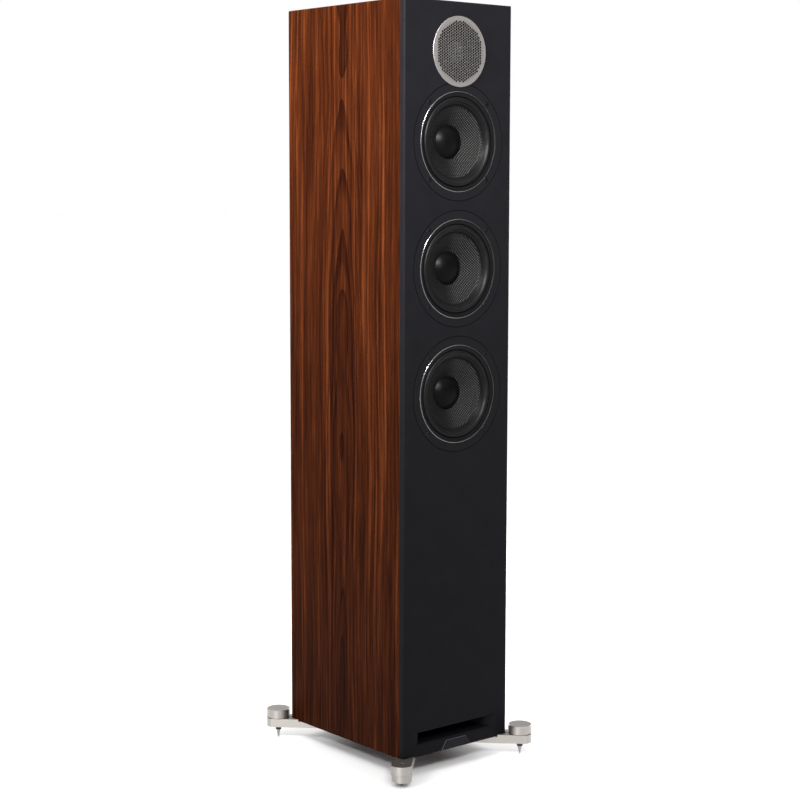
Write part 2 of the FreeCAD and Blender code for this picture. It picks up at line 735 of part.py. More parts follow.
def make_cone():
    """Smooth rim and gently flared woven cone, down to the coil former."""
    return turned("cone", [
        ("cone_edge", "-edge_depth"),
        ("cone_body", "-body_depth"),
        ("cap_radius", "-cap_depth", "cone_curve", 1),
        ("cone_neck", "-neck_depth"),
        ("cone_neck", "-neck_depth - cone_thick"),
        ("cap_radius", "-cap_depth - cone_thick"),
        ("cone_body", "-body_depth - cone_thick", "cone_curve", -1),
        ("cone_edge", "-edge_depth - cone_thick"),
    ])


def make_dust_cap():
    """Thin domed cap over the coil."""
    rim = "(-cap_depth + cap_lift)"
    centre = "(%s - sqrt(cap_curve * cap_curve - cap_radius * cap_radius))" % rim
    inner_curve = "(cap_curve - cap_thick)"
    drop = "(%s - %s)" % (rim, centre)
    return turned("dust_cap", [
        ("cap_radius", rim),
        ("0", centre + " + cap_curve", "cap_curve", 1),
        ("0", centre + " + " + inner_curve),
        ("sqrt(%s * %s - %s * %s)" % (inner_curve, inner_curve, drop, drop), rim, inner_curve, -1),
    ])


def make_voice_coil():
    """Coil former with its copper winding at the lower end."""
    return turned("voice_coil", [
        ("coil_inner", "-neck_depth + neck_lip"),
        ("coil_inner", "-basket_depth - coil_reach"),
        ("winding_outer", "-basket_depth - coil_reach"),
        ("winding_outer", "-basket_depth + coil_rise"),
        ("coil_outer", "-basket_depth + coil_rise"),
        ("coil_outer", "-neck_depth + neck_lip"),
    ])


def make_spider():
    """Corrugated centring disc between the basket's ledge and the coil former."""
    flat = "-spider_level + part_gap + spider_thick"
    first = "(spider_seat + seat_gap)"
    last = "(coil_outer + spider_collar)"
    upper = [("spider_outer", flat), (first, flat)]
    for index in range(1, SPIDER_FOLDS):
        lift = "+ spider_wave" if index % 2 else "- spider_wave"
        along = "%s - (%s - %s) * %d / %d" % (first, first, last, index, SPIDER_FOLDS)
        upper.append((along, "%s %s" % (flat, lift)))
    upper += [(last, flat), ("coil_outer + part_gap", flat)]
    lower = [(radius, level + " - spider_thick") for radius, level in reversed(upper)]
    return turned("spider", upper + lower)


def make_motor():
    """Magnet, steel plates and pole piece, bonded into one block with a gap for the coil."""
    plate = "(basket_depth + plate_thick)"
    yoke = "(motor_depth - plate_thick)"
    return turned("motor", [
        ("0", "-motor_depth"),
        ("plate_radius", "-motor_depth"),
        ("plate_radius", "-" + yoke),
        ("plate_radius - magnet_inset", "-" + yoke),
        ("plate_radius - magnet_inset", "-" + plate),
        ("plate_radius", "-" + plate),
        ("plate_radius", "-basket_depth"),
        ("winding_outer + coil_gap", "-basket_depth"),
        ("winding_outer + coil_gap", "-" + plate),
        ("magnet_inner", "-" + plate),
        ("magnet_inner", "-" + yoke),
        ("pole_radius", "-" + yoke),
        ("pole_radius", "-basket_depth + coil_rise"),
        ("0", "-basket_depth + coil_rise"),
    ])


def make_driver(name):
    """One driver of eight pieces, facing out of the baffle."""
    makers = {
        "basket": make_basket,
        "trim_ring": make_trim_ring,
        "surround": make_surround,
        "cone": make_cone,
        "dust_cap": make_dust_cap,
        "voice_coil": make_voice_coil,
        "spider": make_spider,
        "motor": make_motor,
    }
    for piece, make in makers.items():
        body = make()
        place(body, y="-cabinet_depth / 2", z="floor_gap + %s_level" % name, rotation=FRONT)
        node(body, "%s_%s" % (name, piece))


def make_grille():
    """Perforated tweeter plate: one face with a hexagonal field of holes, given its thickness."""
    pitch = number("mesh_pitch")
    hole = number("mesh_hole")
    column_step = pitch * math.sqrt(3) / 2
    limit = number("mesh_radius") - hole
    wires = [Part.Wire(Part.makeCircle(number("grille_radius")))]
    columns = int(limit / column_step) + 1
    for column in range(-columns, columns + 1):
        shift = pitch / 2 if column % 2 else 0
        for row in range(-columns - 2, columns + 3):
            x = column * column_step
            y = row * pitch + shift
            if math.hypot(x, y) <= limit:
                wires.append(Part.Wire(Part.makeCircle(hole, FreeCAD.Vector(x, y, 0))))
    face = Part.makeFace(wires, "Part::FaceMakerBullseye")
    item = doc.addObject("Part::Feature", "TweeterGrille")
    plate = face.extrude(FreeCAD.Vector(0, 0, number("grille_thick")))
    rim = [edge for edge in plate.Edges if is_level(edge, number("grille_thick"))
           and abs(edge.BoundBox.XLength - 2 * number("grille_radius")) < 0.1]
    item.Shape = plate.makeFillet(number("grille_round"), rim)
    place(item, y="-cabinet_depth / 2 - part_gap / 2", z="floor_gap + tweeter_level", rotation=FRONT)
    node(item, "tweeter_grille")


def make_tweeter():
    """Tweeter behind the perforated plate: chassis with a shallow horn, dome, coil and motor."""
    chassis = turned("tweeter_chassis", [
        ("horn_radius", "0"),
        ("horn_radius - horn_rim", "0"),
        ("horn_throat + throat_lip", "-throat_level", "horn_curve", 1),
        ("horn_throat", "-throat_level"),
        ("horn_throat", "-horn_depth"),
        ("tweeter_body", "-horn_depth"),
        ("tweeter_body", "-horn_thick"),
        ("horn_radius", "-horn_thick"),
    ])
    edge = "(-dome_depth + dome_thick)"
    centre = "(%s - sqrt(dome_curve * dome_curve - dome_rim * dome_rim))" % edge
    inner_curve = "(dome_curve - dome_thick)"
    drop = "(-dome_depth - %s)" % centre
    dome = turned("tweeter_dome", [
        ("dome_radius", "-dome_depth"),
        ("dome_radius", edge),
        ("dome_rim", edge),
        ("0", centre + " + dome_curve", "dome_curve", 1),
        ("0", centre + " + " + inner_curve),
        ("sqrt(%s * %s - %s * %s)" % (inner_curve, inner_curve, drop, drop), "-dome_depth", inner_curve, -1),
    ])
    coil = turned("tweeter_coil", box_points(
        "dome_rim - 2 * part_gap - wire", "dome_rim - 2 * part_gap",
        "-dome_depth - 2 * part_gap - wire_long", "-dome_depth - 2 * part_gap",
    ))
    motor = turned("tweeter_motor", [
        ("0", "-tweeter_deep"),
        ("tweeter_body", "-tweeter_deep"),
        ("tweeter_body", "-horn_depth"),
        ("dome_rim + gap_outer", "-horn_depth"),
        ("dome_rim + gap_outer", "-horn_depth - gap_deep"),
        ("dome_rim - gap_inner", "-horn_depth - gap_deep"),
        ("dome_rim - gap_inner", "-horn_depth"),
        ("0", "-horn_depth"),
    ])
    bodies = {
        "tweeter_chassis": chassis,
        "tweeter_dome": dome,
        "tweeter_coil": coil,
        "tweeter_motor": motor,
    }
    for label, body in bodies.items():
        place(body, y="-cabinet_depth / 2", z="floor_gap + tweeter_level", rotation=FRONT)
        node(body, label)


# ---------------------------------------------------------------- terminals and crossover

def make_terminals():
    """Terminal plate, two plug posts and, on each, a clamping washer and an insulated cap."""
    plate = padded("terminal_plate", "XY_Plane", box_points(
        "-terminal_width / 2", "terminal_width / 2", "-terminal_tall / 2", "terminal_tall / 2",
    ), "terminal_thick")
    dress(plate, "Fillet", "terminal_corner", lambda edge: edge.BoundBox.ZLength > 1)
    front = number("terminal_thick")
    dress(plate, "Fillet", "terminal_round", lambda edge: is_level(edge, front))
    holes = new_sketch(plate, "XY_Plane", "terminal_thick")
    for side_x in (-1, 1):
        add_circle(holes, "%d * post_offset" % side_x, "0", "thread_radius + fit")
        for side_y in (-1, 1):
            add_circle(
                holes,
                "%d * terminal_screw_x" % side_x,
                "%d * terminal_screw_z" % side_y,
                "screw_shank + fit",
            )
    pocket(plate, holes, "terminal_thick")
    place(plate, y="cabinet_depth / 2", z="floor_gap + terminal_level", rotation=BACK)
    node(plate, "terminal_plate")

    post = turned("terminal_post", [
        ("0", "-post_inside"),
        ("thread_radius", "-post_inside"),
        ("thread_radius", "0"),
        ("collar_radius", "0"),
        ("collar_radius", "collar_tall"),
        ("post_radius", "collar_tall"),
        ("post_radius", "post_end"),
        ("plug_bore", "post_end"),
        ("plug_bore", "post_end - plug_depth"),
        ("0", "post_end - plug_depth"),
    ])
    spots = []
    for side_x in (-1, 1):
        centre = FreeCAD.Vector(
            side_x * number("post_offset"),
            number("cabinet_depth / 2 + terminal_thick"),
            number("floor_gap + terminal_level"),
        )
        spots.append(FreeCAD.Placement(centre, BACK))
    group("terminal_posts", post, spots)

    washer_low = "collar_tall + washer_gap"
    washer_high = washer_low + " + washer_thick"
    cap_low = washer_high + " + washer_gap"
    cap_high = "post_end + cap_over"
    for colour, side_x in (("red", 1), ("black", -1)):
        washer = turned("terminal_washer", box_points(
            "post_radius + fit", "collar_radius", washer_low, washer_high))
        cap = turned("terminal_cap", [
            ("post_radius + fit", cap_low),
            ("cap_grip", cap_low),
            ("cap_grip", cap_high + " - cap_bevel"),
            ("cap_grip - cap_bevel", cap_high),
            ("post_radius + fit", cap_high),
        ])
        flute = new_sketch(cap, "XY_Plane", cap_high)
        add_circle(flute, "cap_grip + flute_offset", "0", "flute_radius")
        repeat_round(cap, pocket(cap, flute, "flute_long"), flute, CAP_FLUTES)
        for label, body in (("washer", washer), ("cap", cap)):
            place(
                body, x="%d * post_offset" % side_x,
                y="cabinet_depth / 2 + terminal_thick",
                z="floor_gap + terminal_level", rotation=BACK,
            )
            node(body, "terminal_%s_%s" % (label, colour))


def make_crossover():
    """Crossover board on the back panel, with its coils, capacitors and resistors."""
    inside = "-cabinet_depth / 2 + wall"
    board = padded("crossover_board", "XZ_Plane", box_points(
        "-board_half", "board_half", "board_low", "board_high",
    ), "board_thick", inside + " + standoff_tall")
    standoffs = new_sketch(board, "XZ_Plane", inside)
    for x in ("-board_half + standoff_inset", "board_half - standoff_inset"):
        for z in ("board_low + standoff_inset", "board_high - standoff_inset"):
            add_circle(standoffs, x, z, "standoff_radius")
    pad(board, standoffs, "standoff_tall")
    place(board, z="floor_gap")
    node(board, "crossover_board")

    face = number("cabinet_depth / 2 - wall - standoff_tall - board_thick")
    base = number("floor_gap")
    round_part = number("capacitor_radius")
    square_part = number("resistor_thick")
    gap = number("part_gap")
    pieces = []
    for x, z in INDUCTORS:
        centre = FreeCAD.Vector(x, face, base + z)
        toward_front = FreeCAD.Vector(0, -1, 0)
        tall = number("inductor_tall")
        ring = Part.makeCylinder(number("inductor_radius"), tall, centre, toward_front)
        pieces.append(ring.cut(Part.makeCylinder(number("inductor_hole"), tall, centre, toward_front)))
    for x, z in CAPACITORS:
        foot = FreeCAD.Vector(x, face - round_part - gap, base + z)
        pieces.append(Part.makeCylinder(round_part, number("capacitor_long"), foot))
    for x, z in RESISTORS:
        corner = FreeCAD.Vector(x, face - square_part - gap, base + z)
        pieces.append(Part.makeBox(number("resistor_long"), square_part, square_part, corner))
    item = doc.addObject("Part::Feature", "CrossoverComponents")
    item.Shape = Part.makeCompound(pieces)
    node(item, "crossover_components")


# ---------------------------------------------------------------- feet

def arm_outline():
    """Plan of an arm: square at its inner end, round about the spike at its outer end."""
    reach = "sqrt(arm_end * arm_end - arm_half * arm_half)"
    return [
        ("-arm_inner", "-arm_half"),
        (reach, "-arm_half"),
        (reach, "arm_half", "arm_end", 1),
        ("-arm_inner", "arm_half"),
    ]


def make_arm():
    """Foot arm with a notch round the cabinet's corner, a bore for the spike and two screw holes."""
    bottom = "floor_gap + arm_rise - arm_thick"
    body = padded("foot_arm", "XY_Plane", arm_outline(), "arm_thick", bottom)
    notch = new_sketch(body, "XY_Plane", "floor_gap + arm_rise")
    apex = "-(foot_offset / diagonal - notch_gap)"
    end = "-arm_inner - over"
    add_outline(notch, [
        (apex, "0"),
        (apex + " - notch_reach", "notch_reach"),
        (end, "notch_reach"),
        (end, "-notch_reach"),
        (apex + " - notch_reach", "-notch_reach"),
    ])
    pocket(body, notch, "arm_rise")
    bores = new_sketch(body, "XY_Plane", "floor_gap + arm_rise")
    add_circle(bores, "0", "0", "thread_radius + fit")
    add_circle(bores, "-bolt_near", "0", "screw_shank + fit")
    add_circle(bores, "-bolt_far", "0", "screw_shank + fit")
    pocket(body, bores, "arm_thick")
    sinks = new_sketch(body, "XY_Plane", bottom)
    add_circle(sinks, "-bolt_near", "0", "screw_head + part_gap")
    add_circle(sinks, "-bolt_far", "0", "screw_head + part_gap")
    pocket(body, sinks, "screw_head_tall + screw_sunk", backwards=True)
    return body


def make_knob(is_low):
    """Round levelling knob: above the arm with a blind bore, or below it with a through bore."""
    if is_low:
        base = "(floor_gap + arm_rise - arm_thick - knob_gap - low_knob_tall)"
        radius, top, roof = "arm_half", base + " + low_knob_tall", "0"
    else:
        base = "(floor_gap + arm_rise + knob_gap)"
        radius, top, roof = "arm_end", base + " + knob_tall", "knob_roof"
    bore_end = "%s - %s" % (top, roof)
    outline = [
        ("thread_radius + fit", base),
        (radius + " - knob_chamfer", base),
        (radius, base + " + knob_chamfer"),
        (radius, top + " - knob_chamfer"),
        (radius + " - knob_chamfer", top),
    ]
    if not is_low:
        outline += [("0", top), ("0", bore_end)]
    return turned("levelling_knob", outline + [("thread_radius + fit", bore_end)])


def make_spike(is_low):
    """Steel spike: a pointed threaded rod, with a collar under the knob where the knob is low."""
    point = [("0", "0"), ("tip_radius", "0")]
    if is_low:
        collar = "(floor_gap + arm_rise - arm_thick - 2 * knob_gap - low_knob_tall)"
        end = "floor_gap + arm_rise - seat_gap"
        point += [
            ("thread_radius", collar + " - low_collar"),
            ("nut_radius", collar + " - low_collar"),
            ("nut_radius", collar),
            ("thread_radius", collar),
        ]
    else:
        end = "floor_gap + arm_rise + knob_gap + knob_tall - knob_roof - seat_gap"
        point += [("thread_radius", "cone_tall")]
    return turned("levelling_spike", point + [("thread_radius", end), ("0", end)])


def make_feet():
    """Four feet on the cabinet's diagonals, and the lock nuts of the three with a high knob."""
    nut = turned("lock_nut", [
        ("thread_radius + fit", "-nut_tall"),
        ("nut_radius", "-nut_tall"),
        ("nut_radius", "0"),
        ("thread_radius + fit", "0"),
    ])
    nut_spots = []
    for name, (side_x, side_y, angle) in FEET.items():
        is_low = name in LOW_KNOB_FEET
        turn = FreeCAD.Rotation(FreeCAD.Vector(0, 0, 1), angle)
        x = "%d * (cabinet_width / 2 + foot_offset)" % side_x
        y = "%d * (cabinet_depth / 2 + foot_offset)" % side_y
        for label, body in (
            ("foot_arm", make_arm()),
            ("levelling_knob", make_knob(is_low)),
            ("levelling_spike", make_spike(is_low)),
        ):
            place(body, x, y, rotation=turn)
            node(body, "%s_%s" % (label, name))
        if not is_low:
            under = number("floor_gap + arm_rise - arm_thick - part_gap / 2")
            nut_spots.append(FreeCAD.Placement(FreeCAD.Vector(number(x), number(y), under), UPRIGHT))
    group("lock_nuts", nut, nut_spots)


def screw_spots():
    """Where each of the identical screws goes: under its head, and which way its head faces."""
    spots = []
    reach = number("screw_circle * diagonal")
    sunk = number("-cabinet_depth / 2 + screw_sunk")
    for name in DRIVERS:
        level = number("floor_gap + %s_level" % name)
        for side_x in (-1, 1):
            for side_z in (-1, 1):
                centre = FreeCAD.Vector(side_x * reach, sunk, level + side_z * reach)
                spots.append(FreeCAD.Placement(centre, FRONT))
    proud = number("cabinet_depth / 2 + terminal_thick + screw_head_tall")
    for side_x in (-1, 1):
        for side_z in (-1, 1):
            centre = FreeCAD.Vector(
                side_x * number("terminal_screw_x"),
                proud,
                number("floor_gap + terminal_level") + side_z * number("terminal_screw_z"),
            )
            spots.append(FreeCAD.Placement(centre, BACK))
    low = number("floor_gap + arm_rise - arm_thick + screw_sunk")
    for side_x, side_y, _ in FEET.values():
        for distance in ("bolt_near", "bolt_far"):
            inward = number("foot_offset - %s * diagonal" % distance)
            centre = FreeCAD.Vector(
                side_x * (number("cabinet_width / 2") + inward),
                side_y * (number("cabinet_depth / 2") + inward),
                low,
            )
            spots.append(FreeCAD.Placement(centre, UPSIDE_DOWN))
    return spots


def make_screws():
    """Cap screws with a hexagon socket; the head's face is at zero and the shank points down."""
    screw = turned("cap_screw", [
        ("0", "0"),
        ("0", "-screw_head_tall - screw_length"),
        ("screw_shank", "-screw_head_tall - screw_length"),
        ("screw_shank", "-screw_head_tall"),
        ("screw_head", "-screw_head_tall"),
        ("screw_head", "-screw_bevel"),
        ("screw_head - screw_bevel", "0"),
    ])
    socket = new_sketch(screw, "XY_Plane")
    height = "screw_key * sine_60"
    add_outline(socket, [
        ("screw_key", "0"),
        ("screw_key / 2", height),
        ("-screw_key / 2", height),
        ("-screw_key", "0"),
        ("-screw_key / 2", "-" + height),
        ("screw_key / 2", "-" + height),
    ])
    pocket(screw, socket, "screw_head_tall / 2")
    group("cap_screws", screw, screw_spots())


# ---------------------------------------------------------------- checks and export

def check_document():
    """Stops if any object failed or any sub-part has no valid solid."""
    doc.recompute()
    for item in doc.Objects:
        if "Invalid" in item.State or "Error" in item.State:
            raise RuntimeError("%s (%s) is %s" % (item.Name, item.Label, item.State))
    for item in nodes:
        shape = item.Shape
        if shape.isNull() or not shape.isValid() or not shape.Solids:
            raise RuntimeError("%s has no valid solid" % item.Label)


def export_nodes():
    os.makedirs("parts", exist_ok=True)
    for item in nodes:
        item.Shape.exportStep("parts/%s.step" % item.Label)
    print("%d sub-parts written" % len(nodes))


fill_sheet()
panels = make_wrap()
drill_bottom(panels["bottom_panel"])
make_back()
make_baffle()
make_port_duct()
make_badge()
make_brace()
for driver in DRIVERS:
    make_driver(driver)
make_grille()
make_tweeter()
make_terminals()
make_crossover()
make_feet()
make_screws()
check_document()
export_nodes()
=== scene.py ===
import math

import bpy
import numpy as np
from mathutils import Matrix, Vector


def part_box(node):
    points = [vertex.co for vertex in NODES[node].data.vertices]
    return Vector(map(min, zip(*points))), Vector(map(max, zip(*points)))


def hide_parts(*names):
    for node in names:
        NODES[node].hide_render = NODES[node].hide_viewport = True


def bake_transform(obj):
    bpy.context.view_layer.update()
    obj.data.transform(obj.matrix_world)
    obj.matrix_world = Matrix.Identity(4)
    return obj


# The looks of a floorstanding loudspeaker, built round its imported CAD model. Everything is in
# metres in the model's own frame: +Z up, the drivers face -Y, the origin is on the floor.

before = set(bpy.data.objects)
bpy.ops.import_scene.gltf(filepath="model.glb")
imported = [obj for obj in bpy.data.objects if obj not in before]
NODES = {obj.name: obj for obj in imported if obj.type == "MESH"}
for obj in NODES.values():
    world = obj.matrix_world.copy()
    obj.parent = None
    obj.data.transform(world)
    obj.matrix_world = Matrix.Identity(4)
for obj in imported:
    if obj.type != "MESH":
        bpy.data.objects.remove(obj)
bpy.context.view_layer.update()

MM = 0.001
DRIVERS = ("midrange", "upper_woofer", "lower_woofer")
FEET = ("front_left", "front_right", "rear_right", "rear_left")

# Radii of the driver's parts, and depths behind the front of the baffle.
MESH_RADIUS = 39.0 * MM
FLANGE_RADIUS = 74.7 * MM
TRIM_OUTER = 63.4 * MM
BEAD_INNER = 62.0 * MM
ROLL_CENTRE = 53.3 * MM
ROLL_RADIUS = 3.3 * MM
CONE_EDGE = 48.9 * MM
WEAVE_RADIUS = 45.4 * MM
WEAVE_PITCH = 1.7 * MM
RUBBER = 0.8 * MM
RUBBER_DEPTH = 4.4 * MM
SPIDER_OUTER = 46.0 * MM
SPIDER_INNER = 13.35 * MM
SPIDER_DEPTH = 33.9 * MM
SPIDER_THICK = 0.7 * MM
# The spider's corrugations lie between these radii.
WAVES_OUTER = 40.5 * MM
WAVES_INNER = 15.8 * MM
WAVE_HEIGHT = 1.2 * MM
WAVES = 5
FRONT_Y = -120.0 * MM

# Steps of the flexing pieces: round the axis, along the half roll and along one corrugation.
SURROUND_STEPS = 128
SPIDER_STEPS = 96
ROLL_STEPS = 24
WAVE_STEPS = 12

# The walnut's figure: distance between growth rings, where their heart runs across the panel,
# how fast the heart sinks under the face, and how far from it the flame figure fades.
RING_PITCH = 6.5 * MM
HEART_Y = 4.0 * MM
HEART_SLOPE = 0.040
FLAME_NEAR = 12.0 * MM
FLAME_FAR = 45.0 * MM

# Linear colours that several materials share.
PANEL_BLACK = (0.0066, 0.0064, 0.0080)
COATING_BLACK = (0.0052, 0.0051, 0.0060)
DUCT_BLACK = (0.004, 0.004, 0.004)
SATIN_SILVER = (0.43, 0.405, 0.38)
GOLD = (0.75, 0.5, 0.18)

# The surroundings' light at wall level and overhead, and the heights of direction between them.
WALL_LIGHT = 0.25
CEILING_LIGHT = 1.6
WALL_TOP = 0.35
CEILING_EDGE = 0.8
FLOOR_HALF = 40.0

CAMERA_PLACE = (-1.5247, -1.8361, 0.7593)
CAMERA_YAW = 0.6942
CAMERA_PITCH = -0.1095
CAMERA_ROLL = -0.0018
CAMERA_LENS = 80.74
CAMERA_SHIFT = -0.02


def middle(node):
    """The centre of a CAD node's box."""
    low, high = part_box(node)
    return (low + high) / 2


# ---------------------------------------------------------------- node helpers

SOCKETS = {
    "metallic": "Metallic",
    "specular": "Specular IOR Level",
    "coat": "Coat Weight",
    "sheen": "Sheen Weight",
    "transmission": "Transmission Weight",
}


class Paint:
    """Builds the node tree of one material. Sizes are in metres, colours are linear."""

    def __init__(self, name, color=(0.5, 0.5, 0.5), roughness=0.5, **constants):
        self.material = bpy.data.materials.new(name)
        self.material.use_nodes = True
        self.tree = self.material.node_tree
        self.shader = self.tree.nodes["Principled BSDF"]
        self.shader.inputs["Base Color"].default_value = (*color, 1)
        self.shader.inputs["Roughness"].default_value = roughness
        for socket, value in constants.items():
            self.shader.inputs[SOCKETS[socket]].default_value = value
        self.place = self.add("ShaderNodeTexCoord").outputs["Object"]
        self.material.diffuse_color = (*color, 1)

    def add(self, kind, inputs=(), **settings):
        """Adds a node, sets its properties and feeds its inputs from values or other outputs."""
        node = self.tree.nodes.new(kind)
        for name, value in settings.items():
            setattr(node, name, value)
        for key, value in dict(inputs).items():
            self.feed(node.inputs[key], value)
        return node

    def feed(self, socket, value):
        if isinstance(value, bpy.types.NodeSocket):
            self.tree.links.new(value, socket)
        else:
            socket.default_value = value

    def math(self, operation, a, b=0.0):
        node = self.add("ShaderNodeMath", {0: a, 1: b}, operation=operation)
        return node.outputs[0]

    def split(self):
        node = self.add("ShaderNodeSeparateXYZ", {0: self.place})
        return node.outputs[0], node.outputs[1], node.outputs[2]

    def join(self, x=0.0, y=0.0, z=0.0):
        return self.add("ShaderNodeCombineXYZ", {0: x, 1: y, 2: z}).outputs[0]

    def scaled(self, x, y, z):
        """The coordinates multiplied along each axis, for a texture stretched along one of them."""
        node = self.add("ShaderNodeVectorMath", {0: self.place, 1: (x, y, z)}, operation="MULTIPLY")
        return node.outputs[0]

    def noise(self, size, vector=None, detail=3.0, roughness=0.55, distortion=0.0):
        """Noise whose features are about size metres across, from 0 to 1."""
        node = self.add("ShaderNodeTexNoise", {
            "Vector": vector or self.place, "Scale": 1 / size, "Detail": detail,
            "Roughness": roughness, "Distortion": distortion})
        return node.outputs["Fac"]

    def remap(self, value, low, high, to_low=0.0, to_high=1.0):
        node = self.add("ShaderNodeMapRange", {0: value, 1: low, 2: high, 3: to_low, 4: to_high})
        return node.outputs[0]

    def ramp(self, value, stops):
        """A colour ramp; stops are (position, colour)."""
        node = self.add("ShaderNodeValToRGB", {0: value})
        ramp = node.color_ramp
        while len(ramp.elements) < len(stops):
            ramp.elements.new(0.5)
        for element, (position, color) in zip(ramp.elements, stops):
            element.position = position
            element.color = (*color, 1)
        return node.outputs[0]

    def mix(self, factor, a, b):
        """Mixes two colours."""
        node = self.add("ShaderNodeMix", {0: factor}, data_type="RGBA", blend_type="MIX")
        for socket, value in ((node.inputs[6], a), (node.inputs[7], b)):
            self.feed(socket, (*value, 1) if isinstance(value, tuple) else value)
        return node.outputs[2]

    def blend(self, factor, a, b):
        """Mixes two numbers."""
        return self.add("ShaderNodeMix", {0: factor, 2: a, 3: b}, data_type="FLOAT").outputs[0]

    def radius(self, centre):
        """Distance from an axis along Y through the centre."""
        x, _, z = self.split()
        across = self.math("SUBTRACT", x, centre[0])
        up = self.math("SUBTRACT", z, centre[2])
        return self.math("SQRT", self.math("ADD", self.math("MULTIPLY", across, across),
                                           self.math("MULTIPLY", up, up)))

    def bump(self, height, distance, strength=1.0):
        """Bump from a height of 0 to 1 that stands for distance metres; bumps add up."""
        before = self.shader.inputs["Normal"]
        inputs = {"Height": height, "Distance": distance, "Strength": strength}
        if before.links:
            inputs["Normal"] = before.links[0].from_socket
        self.feed(before, self.add("ShaderNodeBump", inputs).outputs[0])

    def color(self, value):
        self.feed(self.shader.inputs["Base Color"], value)

    def rough(self, value):
        self.feed(self.shader.inputs["Roughness"], value)

    def metal(self, value):
        self.feed(self.shader.inputs["Metallic"], value)

    def fine_grain(self, size, depth, low, high):
        """Fine surface grain: bump, and roughness that wanders from low to high."""
        self.bump(self.noise(size, detail=2), depth)
        smear = self.noise(size * 60, detail=4)
        self.rough(self.remap(smear, 0.3, 0.7, low, high))


# ---------------------------------------------------------------- materials

def walnut(name, along):
    """Flat-sawn walnut veneer. The grain runs along one axis and the rings spread across Y."""
    paint = Paint(name, (0.045, 0.010, 0.0025), 0.42, specular=0.012)
    x, y, z = paint.split()
    run = z if along == "Z" else x

    def streak(size, stretch, offset, detail, side=y):
        """Noise drawn out along the grain, from -1 to 1 or so."""
        place = paint.join(side, paint.math("MULTIPLY", run, stretch), offset)
        return paint.remap(paint.noise(size, place, detail, 0.6), 0.3, 0.7, -1, 1)

    # Slow sideways drift of the grain.
    across = paint.math("ADD", y, paint.math("MULTIPLY", streak(0.12, 0.25, 0.3, 1.0), 0.005))
    # Growth rings cut at a slope: the heart lies deeper under the face further up.
    heart = paint.math("SUBTRACT", across, HEART_Y)
    waver = streak(0.15, 0.8, 0.7, 1.0)
    depth = paint.math("ADD", paint.math("MULTIPLY", run, HEART_SLOPE),
                       paint.math("MULTIPLY", waver, 0.006))
    ring = paint.math("SQRT", paint.math("ADD", paint.math("MULTIPLY", heart, heart),
                                         paint.math("MULTIPLY", depth, depth)))
    uneven = paint.noise(0.009, paint.join(ring, 0.0, 0.0), 3.0, 0.7)
    turns = paint.math("ADD", paint.math("MULTIPLY", ring, 1 / RING_PITCH),
                       paint.math("MULTIPLY", uneven, 1.6))
    part = paint.math("FRACT", turns)
    # Each ring darkens slowly and ends in a thin dark line.
    late = paint.math("POWER", part, 3.0)
    # The figure is strongest over the heart and gives way to straight grain at the sides.
    near = paint.remap(paint.math("ABSOLUTE", heart), FLAME_NEAR, FLAME_FAR, 1.0, 0.25)
    rings = paint.math("MULTIPLY", paint.math("MULTIPLY", late, near), -0.62)

    tone = paint.math("ADD", rings, paint.math("MULTIPLY", streak(0.018, 0.05, 0.0, 2.0, across), 0.28))
    narrow = streak(0.0042, 0.022, 2.0, 3.0, across)
    tone = paint.math("ADD", tone, paint.math("MULTIPLY", narrow, 0.36))
    fibre = streak(0.0014, 0.03, 4.0, 3.0)
    tone = paint.math("ADD", tone, paint.math("MULTIPLY", fibre, 0.24))
    light_lines = paint.remap(streak(0.0075, 0.008, 9.0, 1.0, across), 0.35, 0.75)
    tone = paint.math("ADD", tone, paint.math("MULTIPLY", light_lines, 0.42))
    pore_place = paint.join(y, paint.math("MULTIPLY", run, 0.10), 6.0)
    pores = paint.remap(paint.noise(0.0008, pore_place, 2.0), 0.60, 0.70)
    color = paint.ramp(paint.remap(tone, -0.75, 0.75), (
        (0.0, (0.0052, 0.0011, 0.0006)),
        (0.35, (0.0150, 0.0033, 0.0010)),
        (0.6, (0.0275, 0.0061, 0.0016)),
        (1.0, (0.0640, 0.0158, 0.0043)),
    ))
    color = paint.mix(paint.math("MULTIPLY", pores, 0.4), color, (0.012, 0.003, 0.002))
    paint.color(color)
    paint.rough(paint.remap(narrow, -1.0, 1.0, 0.46, 0.36))
    paint.bump(paint.math("SUBTRACT", fibre, pores), 0.00004, 0.5)
    return paint.material


def black_lacquer():
    """Satin black lacquer with a faint orange peel."""
    paint = Paint("satin_lacquer", PANEL_BLACK, 0.42, specular=0.025)
    cloud = paint.noise(0.03, detail=6)
    paint.color(paint.ramp(cloud, ((0.3, (0.0053, 0.0052, 0.0062)), (0.7, (0.0063, 0.0061, 0.0073)))))
    paint.bump(paint.noise(0.0016, detail=1), 0.00001, 0.5)
    paint.bump(paint.noise(0.0003, detail=2), 0.000004, 0.4)
    paint.rough(paint.remap(paint.noise(0.06, detail=5), 0.3, 0.7, 0.40, 0.47))
    return paint.material


def powder_black(name, color=COATING_BLACK, low=0.42, high=0.5, shadow_rim=None):
    """Fine-textured black coating of a casting, with an optional painted shadow line round a given
    centre and radius.
    """
    paint = Paint(name, color, 0.45, specular=0.03)
    lighter = tuple(1.25 * part for part in color)
    tone = paint.ramp(paint.noise(0.0008, detail=3), ((0.35, color), (0.7, lighter)))
    if shadow_rim:
        centre, radius = shadow_rim
        # Painted shade: a dark line just inside the rim, in the gap to the panel round it.
        edge = paint.remap(paint.radius(centre), radius - 0.8 * MM, radius - 0.6 * MM)
        tone = paint.mix(edge, tone, (0.0008, 0.0008, 0.0008))
    paint.color(tone)
    paint.fine_grain(0.00045, 0.00002, low, high)
    return paint.material


